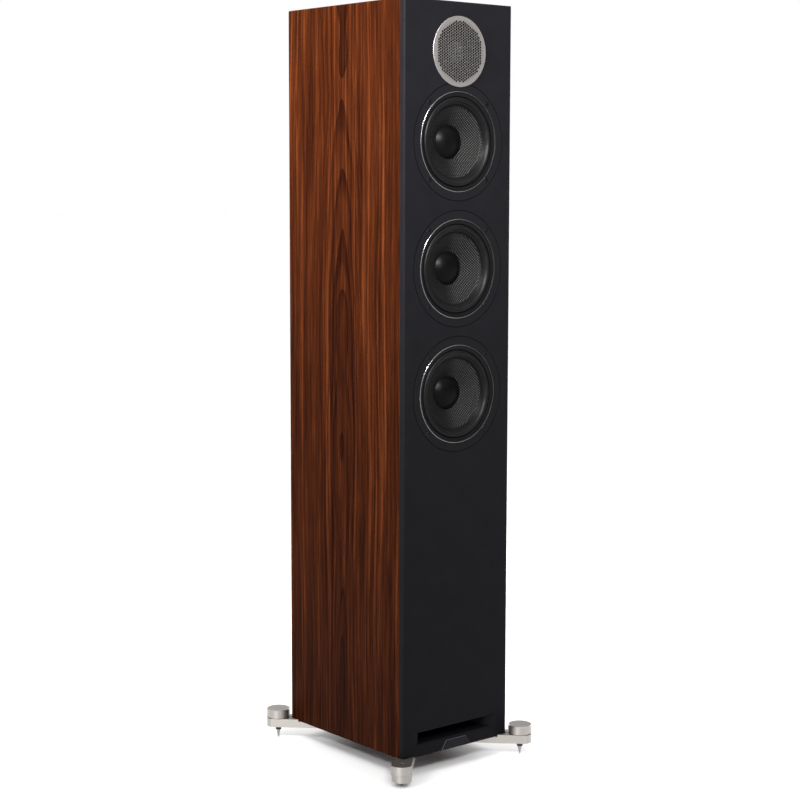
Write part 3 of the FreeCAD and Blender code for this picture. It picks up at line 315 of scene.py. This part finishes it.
def fibreboard():
    """Bare medium-density fibreboard with pressed fibres."""
    paint = Paint("bare_fibreboard", (0.33, 0.22, 0.13), 0.85)
    fibres = paint.noise(0.0012, paint.scaled(1, 1, 4), detail=5, distortion=1.5)
    paint.color(paint.ramp(fibres, (
        (0.3, (0.22, 0.14, 0.08)),
        (0.55, (0.36, 0.25, 0.15)),
        (0.8, (0.5, 0.38, 0.25)),
    )))
    paint.bump(fibres, 0.0001, 0.6)
    return paint.material


def trim_metal(name, centre):
    """Black ring with a polished bead round its outside."""
    paint = Paint(name, (0.004, 0.004, 0.0042), 0.4, specular=0.1)
    bead = paint.remap(paint.radius(centre), BEAD_INNER + 0.65 * MM, BEAD_INNER + 0.85 * MM)
    scratches = paint.noise(0.0004, paint.scaled(1, 6, 1), detail=3)
    polished = paint.ramp(scratches, ((0.3, (0.2, 0.2, 0.204)), (0.7, (0.3, 0.3, 0.305))))
    paint.color(paint.mix(bead, (0.003, 0.003, 0.0032), polished))
    paint.metal(bead)
    black_rough = paint.remap(scratches, 0, 1, 0.34, 0.46)
    paint.rough(paint.blend(bead, black_rough, paint.remap(scratches, 0, 1, 0.2, 0.32)))
    paint.bump(scratches, 0.00001, 0.5)
    return paint.material


def rubber():
    """Matt black butyl rubber with a fine moulded grain."""
    paint = Paint("surround_rubber", (0.003, 0.003, 0.0032), 0.45, specular=0.12)
    bloom = paint.noise(0.012, detail=4)
    paint.color(paint.ramp(bloom, ((0.3, (0.0022, 0.0022, 0.0024)), (0.75, (0.0036, 0.0036, 0.0039)))))
    paint.rough(paint.remap(bloom, 0.3, 0.7, 0.36, 0.48))
    paint.bump(paint.noise(0.0004, detail=2), 0.000015, 0.5)
    return paint.material


def woven_cone(name, centre):
    """Coated plain weave with painted glints and painted shade on its -X half, and a smooth rim outside
    the weave.
    """
    paint = Paint(name, (0.008, 0.008, 0.008), 0.4, specular=0.04)
    x, _, z = paint.split()
    up = paint.math("SUBTRACT", z, centre[2])
    warp = paint.math("SINE", paint.math("MULTIPLY", x, math.pi / WEAVE_PITCH))
    weft = paint.math("SINE", paint.math("MULTIPLY", up, math.pi / WEAVE_PITCH))
    warp_over = paint.math("GREATER_THAN", paint.math("MULTIPLY", warp, weft), 0.0)
    warp_width = paint.math("ABSOLUTE", warp)
    weft_width = paint.math("ABSOLUTE", weft)
    along_warp = paint.math("MULTIPLY", warp_width, paint.math("POWER", weft_width, 0.45))
    along_weft = paint.math("MULTIPLY", weft_width, paint.math("POWER", warp_width, 0.45))
    height = paint.blend(warp_over, along_weft, along_warp)
    woven = paint.math("LESS_THAN", paint.radius(centre), WEAVE_RADIUS)
    uneven = paint.noise(0.006, detail=4)
    # Painted highlight: the crowns of the warp-over cells are painted bright, as glints; the weft-over
    # cells stay dark.
    painted_glint = paint.ramp(height, (
        (0.2, (0.001, 0.001, 0.001)),
        (0.55, (0.006, 0.0058, 0.0056)),
        (0.9, (0.092, 0.090, 0.088)),
    ))
    dull = paint.ramp(height, ((0.1, (0.001, 0.001, 0.001)), (0.9, (0.003, 0.0029, 0.0028))))
    thread = paint.mix(warp_over, dull, painted_glint)
    # Painted shade: the half toward -X is painted duller, from whichever side it is seen.
    shaded_half = paint.remap(paint.math("SUBTRACT", x, centre[0]), -6 * MM, 8 * MM, 0.62, 0.0)
    thread = paint.mix(shaded_half, thread, (0.0015, 0.0014, 0.0014))
    thread = paint.mix(paint.remap(uneven, 0.35, 0.7, 0.0, 0.4), thread, (0.006, 0.006, 0.006))
    paint.color(paint.mix(woven, (0.0028, 0.0028, 0.0030), thread))
    rim_rough = paint.remap(uneven, 0.3, 0.7, 0.38, 0.48)
    thread_rough = paint.remap(height, 0.0, 1.0, 0.6, 0.32)
    paint.rough(paint.blend(woven, rim_rough, thread_rough))
    paint.bump(paint.math("MULTIPLY", height, woven), 0.00025, 0.9)
    paint.bump(paint.noise(0.0003, detail=2), 0.000008, 0.4)
    return paint.material


def satin_black(name, color=(0.005, 0.005, 0.0053), rough=0.36, specular=0.25):
    """Smooth satin black moulding."""
    paint = Paint(name, color, rough, specular=specular)
    cloud = paint.noise(0.01, detail=5)
    paint.color(paint.ramp(cloud, ((0.3, color), (0.75, tuple(1.5 * part for part in color)))))
    paint.rough(paint.remap(cloud, 0.3, 0.7, rough - 0.04, rough + 0.06))
    paint.bump(paint.noise(0.0005, detail=2), 0.000008, 0.5)
    return paint.material


def bevelled_plate():
    """Blank plate in the baffle's black, with a painted highlight along its top and side edges."""
    paint = Paint("badge_black", PANEL_BLACK, 0.38, specular=0.08)
    low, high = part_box("badge_plate")
    x, _, z = paint.split()
    share = paint.remap(z, low[2], high[2], 25.0 * MM, 17.0 * MM)
    side = paint.math("SUBTRACT", share, paint.math("ABSOLUTE", x))
    edge = paint.math("MINIMUM", side, paint.math("SUBTRACT", high[2], z))
    # Painted highlight: a light line within 0.6 mm of the top and side edges.
    painted_highlight = paint.remap(edge, 0.45 * MM, 0.6 * MM, 1.0, 0.0)
    cloud = paint.noise(0.004, detail=4)
    black = paint.ramp(cloud, ((0.3, (0.0061, 0.0059, 0.0074)), (0.7, (0.0072, 0.0069, 0.0086))))
    paint.color(paint.mix(painted_highlight, black, (0.045, 0.044, 0.05)))
    paint.rough(paint.remap(cloud, 0.3, 0.7, 0.34, 0.42))
    paint.bump(paint.noise(0.0004, detail=2), 0.000008, 0.5)
    return paint.material


def satin_metal(name, color, low, high, grain=0.00035, seam_shade=None):
    """Satin metal, as rough as low to high, with an optional painted shadow line at a given height, the
    shade of a joint.
    """
    paint = Paint(name, color, (low + high) / 2, metallic=1.0)
    fine = paint.noise(grain, detail=3, roughness=0.7)
    cloud = paint.noise(0.02, detail=4)
    darker = tuple(0.8 * part for part in color)
    tone = paint.mix(paint.remap(cloud, 0.3, 0.75, 0, 0.35),
                     paint.ramp(fine, ((0.3, darker), (0.7, color))), darker)
    if seam_shade:
        # Painted shade: a dark band within 0.9 mm of that height, where the part meets its neighbour.
        away = paint.math("ABSOLUTE", paint.math("SUBTRACT", paint.split()[2], seam_shade))
        tone = paint.mix(paint.remap(away, 0.5 * MM, 0.9 * MM, 1.0, 0.0), tone, (0.02, 0.019, 0.018))
    paint.color(tone)
    paint.rough(paint.remap(fine, 0.25, 0.75, low, high))
    paint.bump(fine, 0.00002, 0.5)
    return paint.material


def perforated_metal(name, color):
    """Satin metal plate, with painted shade inside its holes and along its foot, and a darker web across
    its perforated field.
    """
    paint = Paint(name, color, 0.5, metallic=1.0)
    fine = paint.noise(0.0004, detail=3, roughness=0.7)
    face = paint.ramp(fine, ((0.3, tuple(0.85 * part for part in color)), (0.7, color)))
    low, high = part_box("tweeter_grille")
    _, y, _ = paint.split()
    # Painted shade: hole walls deeper than 0.12 mm in the field and the side below 0.35 mm are painted
    # black and dull.
    deep = paint.math("GREATER_THAN", y, low[1] + 0.12 * MM)
    foot = paint.math("GREATER_THAN", y, low[1] + 0.35 * MM)
    field = paint.math("LESS_THAN", paint.radius((low + high) / 2), MESH_RADIUS + 0.3 * MM)
    painted_shade = paint.math("MAXIMUM", foot, paint.math("MULTIPLY", deep, field))
    web = paint.mix(field, face, tuple(0.8 * part for part in color))
    paint.color(paint.mix(painted_shade, web, (0.003, 0.003, 0.003)))
    paint.metal(paint.math("SUBTRACT", 1.0, painted_shade))
    paint.rough(paint.blend(painted_shade, paint.remap(fine, 0.25, 0.75, 0.42, 0.6), 0.8))
    paint.bump(fine, 0.00002, 0.5)
    return paint.material


def turned_steel(name, color, low=0.2, high=0.36):
    """Turned steel with rings left by the tool, stacked along Z."""
    paint = Paint(name, color, low, metallic=1.0)
    rings = paint.noise(0.00035, paint.scaled(0.06, 0.06, 1), detail=3)
    paint.color(paint.ramp(rings, ((0.3, tuple(0.75 * part for part in color)), (0.7, color))))
    paint.rough(paint.remap(rings, 0.3, 0.7, low, high))
    paint.bump(rings, 0.00003, 0.5)
    return paint.material


def threaded_rod(name, color, pitch, start, end):
    """Metal rod with a fine screw thread along Y, between start and end."""
    paint = Paint(name, color, 0.3, metallic=1.0)
    _, y, _ = paint.split()
    wave = paint.math("SINE", paint.math("MULTIPLY", y, 2 * math.pi / pitch))
    inside = paint.math("MULTIPLY", paint.math("GREATER_THAN", y, start),
                        paint.math("LESS_THAN", y, end))
    thread = paint.math("MULTIPLY", paint.remap(wave, -1, 1), inside)
    fine = paint.noise(0.0004, detail=3)
    plain = paint.ramp(fine, ((0.3, tuple(0.8 * part for part in color)), (0.7, color)))
    # Painted shade: a dark band along each turn of the thread.
    groove_shade = tuple(0.35 * part for part in color)
    paint.color(paint.mix(paint.math("MULTIPLY", thread, 0.5), plain, groove_shade))
    paint.rough(paint.remap(fine, 0.3, 0.7, 0.24, 0.38))
    paint.bump(thread, 0.00025, 0.8)
    return paint.material


def copper_winding():
    """Enamelled copper wire, wound in fine turns along Y."""
    paint = Paint("enamelled_copper", (0.55, 0.2, 0.08), 0.3, metallic=1.0)
    _, y, _ = paint.split()
    turns = paint.remap(paint.math("SINE", paint.math("MULTIPLY", y, 2 * math.pi / 0.0003)), -1, 1)
    # Painted shade darkens the crevices between the turns.
    paint.color(paint.ramp(turns, ((0.1, (0.18, 0.055, 0.02)), (0.6, (0.62, 0.24, 0.1)))))
    paint.rough(paint.remap(turns, 0, 1, 0.45, 0.25))
    paint.bump(turns, 0.0001, 0.8)
    return paint.material


def cloth(name, color, thread=0.0007, rough=0.85):
    """Impregnated open cloth: a plain weave seen from the front."""
    paint = Paint(name, color, rough, sheen=0.15)
    x, _, z = paint.split()
    a = paint.math("ABSOLUTE", paint.math("SINE", paint.math("MULTIPLY", x, math.pi / thread)))
    b = paint.math("ABSOLUTE", paint.math("SINE", paint.math("MULTIPLY", z, math.pi / thread)))
    weave = paint.math("MULTIPLY", a, b)
    # Painted shade darkens the gaps between the threads.
    paint.color(paint.ramp(weave, ((0.1, tuple(0.45 * part for part in color)), (0.7, color))))
    paint.bump(weave, 0.0002, 0.8)
    return paint.material


def motor_black():
    """Dark phosphated steel over a ferrite magnet."""
    paint = Paint("motor_black", (0.03, 0.03, 0.032), 0.5, metallic=0.6)
    spots = paint.noise(0.004, detail=8, roughness=0.7)
    paint.color(paint.ramp(spots, ((0.3, (0.02, 0.02, 0.022)), (0.75, (0.06, 0.06, 0.062)))))
    paint.rough(paint.remap(spots, 0.3, 0.7, 0.38, 0.62))
    paint.bump(paint.noise(0.0009, detail=4), 0.00005, 0.5)
    return paint.material


def clear_red():
    """Translucent red moulding of a terminal cap."""
    paint = Paint("clear_red", (0.42, 0.006, 0.006), 0.18, transmission=0.25, coat=0.4)
    swirl = paint.noise(0.006, detail=4, distortion=1.0)
    paint.color(paint.ramp(swirl, ((0.3, (0.34, 0.004, 0.005)), (0.7, (0.52, 0.012, 0.01)))))
    paint.rough(paint.remap(swirl, 0.3, 0.7, 0.14, 0.24))
    paint.bump(paint.noise(0.0012, detail=2), 0.00001, 0.4)
    return paint.material


def circuit_board():
    """Green laminate with wide tinned tracks."""
    paint = Paint("circuit_board", (0.01, 0.1, 0.035), 0.35)
    x, _, z = paint.split()
    tracks = paint.noise(0.02, paint.join(x, 0.0, z), detail=0.0)
    edge = paint.remap(paint.math("ABSOLUTE", paint.math("SUBTRACT", tracks, 0.5)), 0.035, 0.04)
    glass = paint.noise(0.0008, detail=2)
    green = paint.ramp(glass, ((0.3, (0.006, 0.075, 0.028)), (0.7, (0.012, 0.12, 0.045))))
    paint.color(paint.mix(edge, (0.55, 0.53, 0.48), green))
    paint.rough(paint.blend(edge, 0.3, 0.42))
    paint.bump(paint.math("SUBTRACT", 1.0, edge), 0.0001, 0.6)
    return paint.material


def crossover_parts():
    """Coils in copper, film capacitors in yellow and resistors in white, told apart by height."""
    paint = Paint("crossover_parts", (0.5, 0.3, 0.1), 0.4)
    low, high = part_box("crossover_components")
    _, y, z = paint.split()
    coils = paint.math("LESS_THAN", z, low[2] + 0.062)
    resistors = paint.math("GREATER_THAN", z, high[2] - 0.026)
    turns = paint.remap(paint.math("SINE", paint.math("MULTIPLY", y, 2 * math.pi / 0.001)), -1, 1)
    film = paint.noise(0.003, paint.scaled(1, 1, 0.2), detail=4)
    yellow = paint.ramp(film, ((0.3, (0.62, 0.36, 0.04)), (0.7, (0.75, 0.48, 0.08))))
    # Painted shade darkens the crevices between the coils' turns.
    copper = paint.ramp(turns, ((0.1, (0.2, 0.06, 0.02)), (0.6, (0.65, 0.26, 0.1))))
    ceramic = paint.ramp(film, ((0.3, (0.62, 0.6, 0.55)), (0.7, (0.75, 0.73, 0.68))))
    paint.color(paint.mix(resistors, paint.mix(coils, yellow, copper), ceramic))
    paint.metal(coils)
    paint.rough(paint.blend(resistors, 0.35, 0.7))
    paint.bump(paint.math("MULTIPLY", turns, coils), 0.0003, 0.8)
    return paint.material


def paint_node(name, material):
    """Gives a CAD node one material."""
    for slot in NODES[name].material_slots:
        slot.link = "OBJECT"
        slot.material = material


def paint_cabinet():
    side = walnut("walnut_veneer", "Z")
    cap = walnut("walnut_veneer_across", "X")
    for name in ("side_panel_left", "side_panel_right"):
        paint_node(name, side)
    for name in ("top_panel", "bottom_panel"):
        paint_node(name, cap)
    lacquer = black_lacquer()
    for name in ("front_baffle", "back_panel"):
        paint_node(name, lacquer)
    paint_node("window_brace", fibreboard())
    paint_node("port_duct", powder_black("duct_plastic", DUCT_BLACK, low=0.5, high=0.62))
    paint_node("badge_plate", bevelled_plate())


def paint_drivers():
    cap = satin_black("dust_cap_black", (0.0015, 0.0014, 0.0015), rough=0.34, specular=0.055)
    coil = copper_winding()
    motor = motor_black()
    for driver in DRIVERS:
        centre = middle(driver + "_basket")
        paint_node(driver + "_basket", powder_black(driver + "_coating", shadow_rim=(centre, FLANGE_RADIUS)))
        paint_node(driver + "_trim_ring", trim_metal(driver + "_trim", centre))
        paint_node(driver + "_cone", woven_cone(driver + "_weave", centre))
        paint_node(driver + "_dust_cap", cap)
        paint_node(driver + "_voice_coil", coil)
        paint_node(driver + "_motor", motor)
    paint_node("tweeter_grille", perforated_metal("grille_silver", (0.33, 0.31, 0.30)))
    paint_node("tweeter_chassis", powder_black("tweeter_moulding", (0.002, 0.002, 0.002)))
    paint_node("tweeter_dome", cloth("dome_silk", (0.02, 0.02, 0.021), thread=0.0004, rough=0.6))
    paint_node("tweeter_coil", coil)
    paint_node("tweeter_motor", motor)
    oxide = satin_metal("black_oxide", (0.03, 0.03, 0.032), low=0.35, high=0.5, grain=0.0003)
    paint_node("cap_screws", oxide)


def paint_rear():
    moulding = powder_black("terminal_moulding", (0.014, 0.014, 0.015), low=0.32, high=0.42)
    paint_node("terminal_plate", moulding)
    posts = threaded_rod("gold_post", GOLD, pitch=0.8 * MM, start=100 * MM, end=129 * MM)
    paint_node("terminal_posts", posts)
    for colour in ("red", "black"):
        washer = satin_metal("gold_washer_" + colour, GOLD, low=0.2, high=0.35)
        paint_node("terminal_washer_" + colour, washer)
    paint_node("terminal_cap_red", clear_red())
    paint_node("terminal_cap_black", satin_black("cap_black", (0.012, 0.012, 0.013), rough=0.22))
    paint_node("crossover_board", circuit_board())
    paint_node("crossover_components", crossover_parts())


def paint_feet():
    finish = {"color": SATIN_SILVER, "low": 0.34, "high": 0.5, "grain": 0.0004}
    satin = satin_metal("foot_satin", **finish)
    for foot in FEET:
        low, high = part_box("levelling_knob_" + foot)
        # The painted shadow line lies on the side of the knob that faces the arm.
        arm = middle("foot_arm_" + foot)
        seam_shade = high[2] if (low + high)[2] / 2 < arm[2] else low[2]
        knob = satin_metal("knob_satin_" + foot, seam_shade=seam_shade, **finish)
        paint_node("foot_arm_" + foot, satin)
        paint_node("levelling_knob_" + foot, knob)
        spike = turned_steel("spike_steel_" + foot, (0.36, 0.355, 0.35))
        paint_node("levelling_spike_" + foot, spike)
    nut = satin_metal("nut_black", (0.035, 0.035, 0.037), low=0.3, high=0.45, grain=0.0003)
    paint_node("lock_nuts", nut)


# ---------------------------------------------------------------- flexing pieces

def revolve(name, profile, centre, steps):
    """A closed ring turned about an axis along Y; profile is (radius, depth behind the front)."""
    vertices, faces = [], []
    count = len(profile)
    for step in range(steps):
        angle = 2 * math.pi * step / steps
        for radius, depth in profile:
            vertices.append((centre[0] + radius * math.cos(angle), FRONT_Y + depth,
                             centre[2] + radius * math.sin(angle)))
    for step in range(steps):
        here, there = step * count, (step + 1) % steps * count
        for index in range(count):
            following = (index + 1) % count
            faces.append((here + index, here + following, there + following, there + index))
    mesh = bpy.data.meshes.new(name)
    mesh.from_pydata(vertices, [], faces)
    mesh.validate()
    mesh.update()
    mesh.shade_smooth()
    piece = bpy.data.objects.new(name, mesh)
    bpy.context.scene.collection.objects.link(piece)
    return piece


def flex(piece, centre, fixed_radius, moving_radius):
    """Bakes the piece's transform and works out, from each point's distance to the driver's axis, a
    share that eases from 0 at fixed_radius to 1 at moving_radius; the share is not applied to the piece.
    """
    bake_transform(piece)
    points = np.array([vertex.co for vertex in piece.data.vertices], float).reshape(-1, 3)
    radii = np.hypot(points[:, 0] - centre[0], points[:, 2] - centre[2])
    share = np.clip((fixed_radius - radii) / (fixed_radius - moving_radius), 0, 1)
    share = share * share * (3 - 2 * share)


def surround_profile():
    """Outer flat, half roll and inner flat, walked along the front face and back along the rear."""
    front = RUBBER_DEPTH - RUBBER
    outer = [(TRIM_OUTER - 0.3 * MM, front), (ROLL_CENTRE + ROLL_RADIUS + 1.2 * MM, front)]
    inner = [(CONE_EDGE - 0.2 * MM, front), (CONE_EDGE - 0.9 * MM, front)]

    def roll(radius, depth):
        """A half circle from outside to inside."""
        arc = []
        for step in range(ROLL_STEPS + 1):
            angle = math.pi * step / ROLL_STEPS
            arc.append((ROLL_CENTRE + radius * math.cos(angle), depth - radius * math.sin(angle)))
        return arc

    face = outer + roll(ROLL_RADIUS, front) + inner
    back = [(radius, RUBBER_DEPTH) for radius, _ in reversed(inner)]
    back += reversed(roll(ROLL_RADIUS - RUBBER, RUBBER_DEPTH))
    back += [(radius, RUBBER_DEPTH) for radius, _ in reversed(outer)]
    return face + back


def spider_profile():
    """Corrugated disc: a sine wave between two flats."""
    steps = WAVES * WAVE_STEPS
    line = [(SPIDER_OUTER, 0.0)]
    for step in range(steps + 1):
        radius = WAVES_OUTER + (WAVES_INNER - WAVES_OUTER) * step / steps
        line.append((radius, WAVE_HEIGHT * math.sin(2 * math.pi * WAVES * step / steps)))
    line.append((SPIDER_INNER, 0.0))
    front = [(radius, SPIDER_DEPTH - SPIDER_THICK - lift) for radius, lift in line]
    back = [(radius, SPIDER_DEPTH - lift) for radius, lift in reversed(line)]
    return front + back


def make_flexing_pieces():
    skin = rubber()
    fabric = cloth("spider_cloth", (0.5, 0.33, 0.12))
    for driver in DRIVERS:
        centre = middle(driver + "_basket")
        surround = revolve(driver + "_rubber_surround", surround_profile(), centre, SURROUND_STEPS)
        surround.data.materials.append(skin)
        flex(surround, centre, ROLL_CENTRE + ROLL_RADIUS, CONE_EDGE + 0.3 * MM)
        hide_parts(driver + "_surround")
        spider = revolve(driver + "_corrugated_spider", spider_profile(), centre, SPIDER_STEPS)
        spider.data.materials.append(fabric)
        flex(spider, centre, WAVES_OUTER, WAVES_INNER)
        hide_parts(driver + "_spider")


# ---------------------------------------------------------------- stage

def make_floor():
    mesh = bpy.data.meshes.new("floor")
    corners = ((-1, -1), (1, -1), (1, 1), (-1, 1))
    mesh.from_pydata([(FLOOR_HALF * x, FLOOR_HALF * y, 0) for x, y in corners], [], [(0, 1, 2, 3)])
    floor = bpy.data.objects.new("floor", mesh)
    bpy.context.scene.collection.objects.link(floor)
    paint = Paint("pale_floor", (0.91, 0.91, 0.91), 0.9, specular=0.2)
    cloud = paint.noise(0.8, detail=3)
    paint.color(paint.ramp(cloud, ((0.3, (0.90, 0.90, 0.90)), (0.7, (0.92, 0.92, 0.92)))))
    mesh.materials.append(paint.material)


def make_world():
    """A studio dim at the level of the walls and bright overhead; white where the camera sees it."""
    world = bpy.data.worlds.new("studio")
    bpy.context.scene.world = world
    world.use_nodes = True
    tree = world.node_tree

    def add(kind, values=()):
        node = tree.nodes.new(kind)
        for key, value in dict(values).items():
            node.inputs[key].default_value = value
        return node

    direction = add("ShaderNodeTexCoord")
    height = add("ShaderNodeSeparateXYZ")
    tree.links.new(direction.outputs["Generated"], height.inputs[0])
    dome = add("ShaderNodeMapRange", {1: WALL_TOP, 2: CEILING_EDGE, 3: WALL_LIGHT, 4: CEILING_LIGHT})
    tree.links.new(height.outputs[2], dome.inputs[0])
    rays = add("ShaderNodeLightPath")
    strength = add("ShaderNodeMix", {3: 1.0})
    tree.links.new(rays.outputs["Is Camera Ray"], strength.inputs[0])
    tree.links.new(dome.outputs[0], strength.inputs[2])
    background = tree.nodes["Background"]
    tree.links.new(strength.outputs[0], background.inputs["Strength"])
    background.inputs["Color"].default_value = (1, 1, 1, 1)


def add_light(name, place, target, size, power, spread):
    """A rectangular soft box that looks at its target; spread is its beam in degrees."""
    lamp = bpy.data.lights.new(name, "AREA")
    lamp.shape = "RECTANGLE"
    lamp.size, lamp.size_y = size
    lamp.energy = power
    lamp.spread = math.radians(spread)
    light = bpy.data.objects.new(name, lamp)
    bpy.context.scene.collection.objects.link(light)
    light.location = place
    light.visible_camera = False
    aim = Vector(target) - Vector(place)
    light.rotation_mode = "QUATERNION"
    light.rotation_quaternion = aim.to_track_quat("-Z", "Y")


def make_lights():
    """Most beams aim at the upper part of the speaker, and fade toward the floor."""
    add_light("key_left", place=(-1.6, -0.3, 1.5), target=(-0.09, 0, 0.98),
              size=(0.6, 0.6), power=13, spread=50)
    add_light("front", place=(-0.9, -1.6, 1.6), target=(-0.03, -0.1, 0.95),
              size=(0.5, 0.5), power=10, spread=52)
    add_light("low_left", place=(-1.5, -0.75, 0.1), target=(-0.1, -0.05, 0.06),
              size=(0.5, 0.08), power=0.4, spread=35)
    add_light("fill_right", place=(2.1, 0.3, 1.1), target=(0, 0, 0.9),
              size=(0.8, 0.8), power=7, spread=80)
    add_light("back", place=(0.5, 2.6, 1.1), target=(0, 0, 0.9),
              size=(0.8, 0.8), power=9, spread=80)


def make_camera():
    """Yaw turns from +Y toward +X, pitch is above the horizon, roll is about the view."""
    data = bpy.data.cameras.new("camera")
    data.lens = CAMERA_LENS
    data.sensor_width = 36.0
    data.shift_y = CAMERA_SHIFT
    data.clip_end = 100.0
    camera = bpy.data.objects.new("camera", data)
    bpy.context.scene.collection.objects.link(camera)
    turn = Matrix.Rotation(-CAMERA_YAW, 4, "Z") @ Matrix.Rotation(math.pi / 2 + CAMERA_PITCH, 4, "X")
    camera.matrix_world = Matrix.Translation(CAMERA_PLACE) @ turn @ Matrix.Rotation(-CAMERA_ROLL, 4, "Z")
    bpy.context.scene.camera = camera


bpy.context.scene.view_settings.view_transform = "Standard"
make_camera()
paint_cabinet()
paint_drivers()
paint_rear()
paint_feet()
make_flexing_pieces()
make_floor()
make_world()
make_lights()
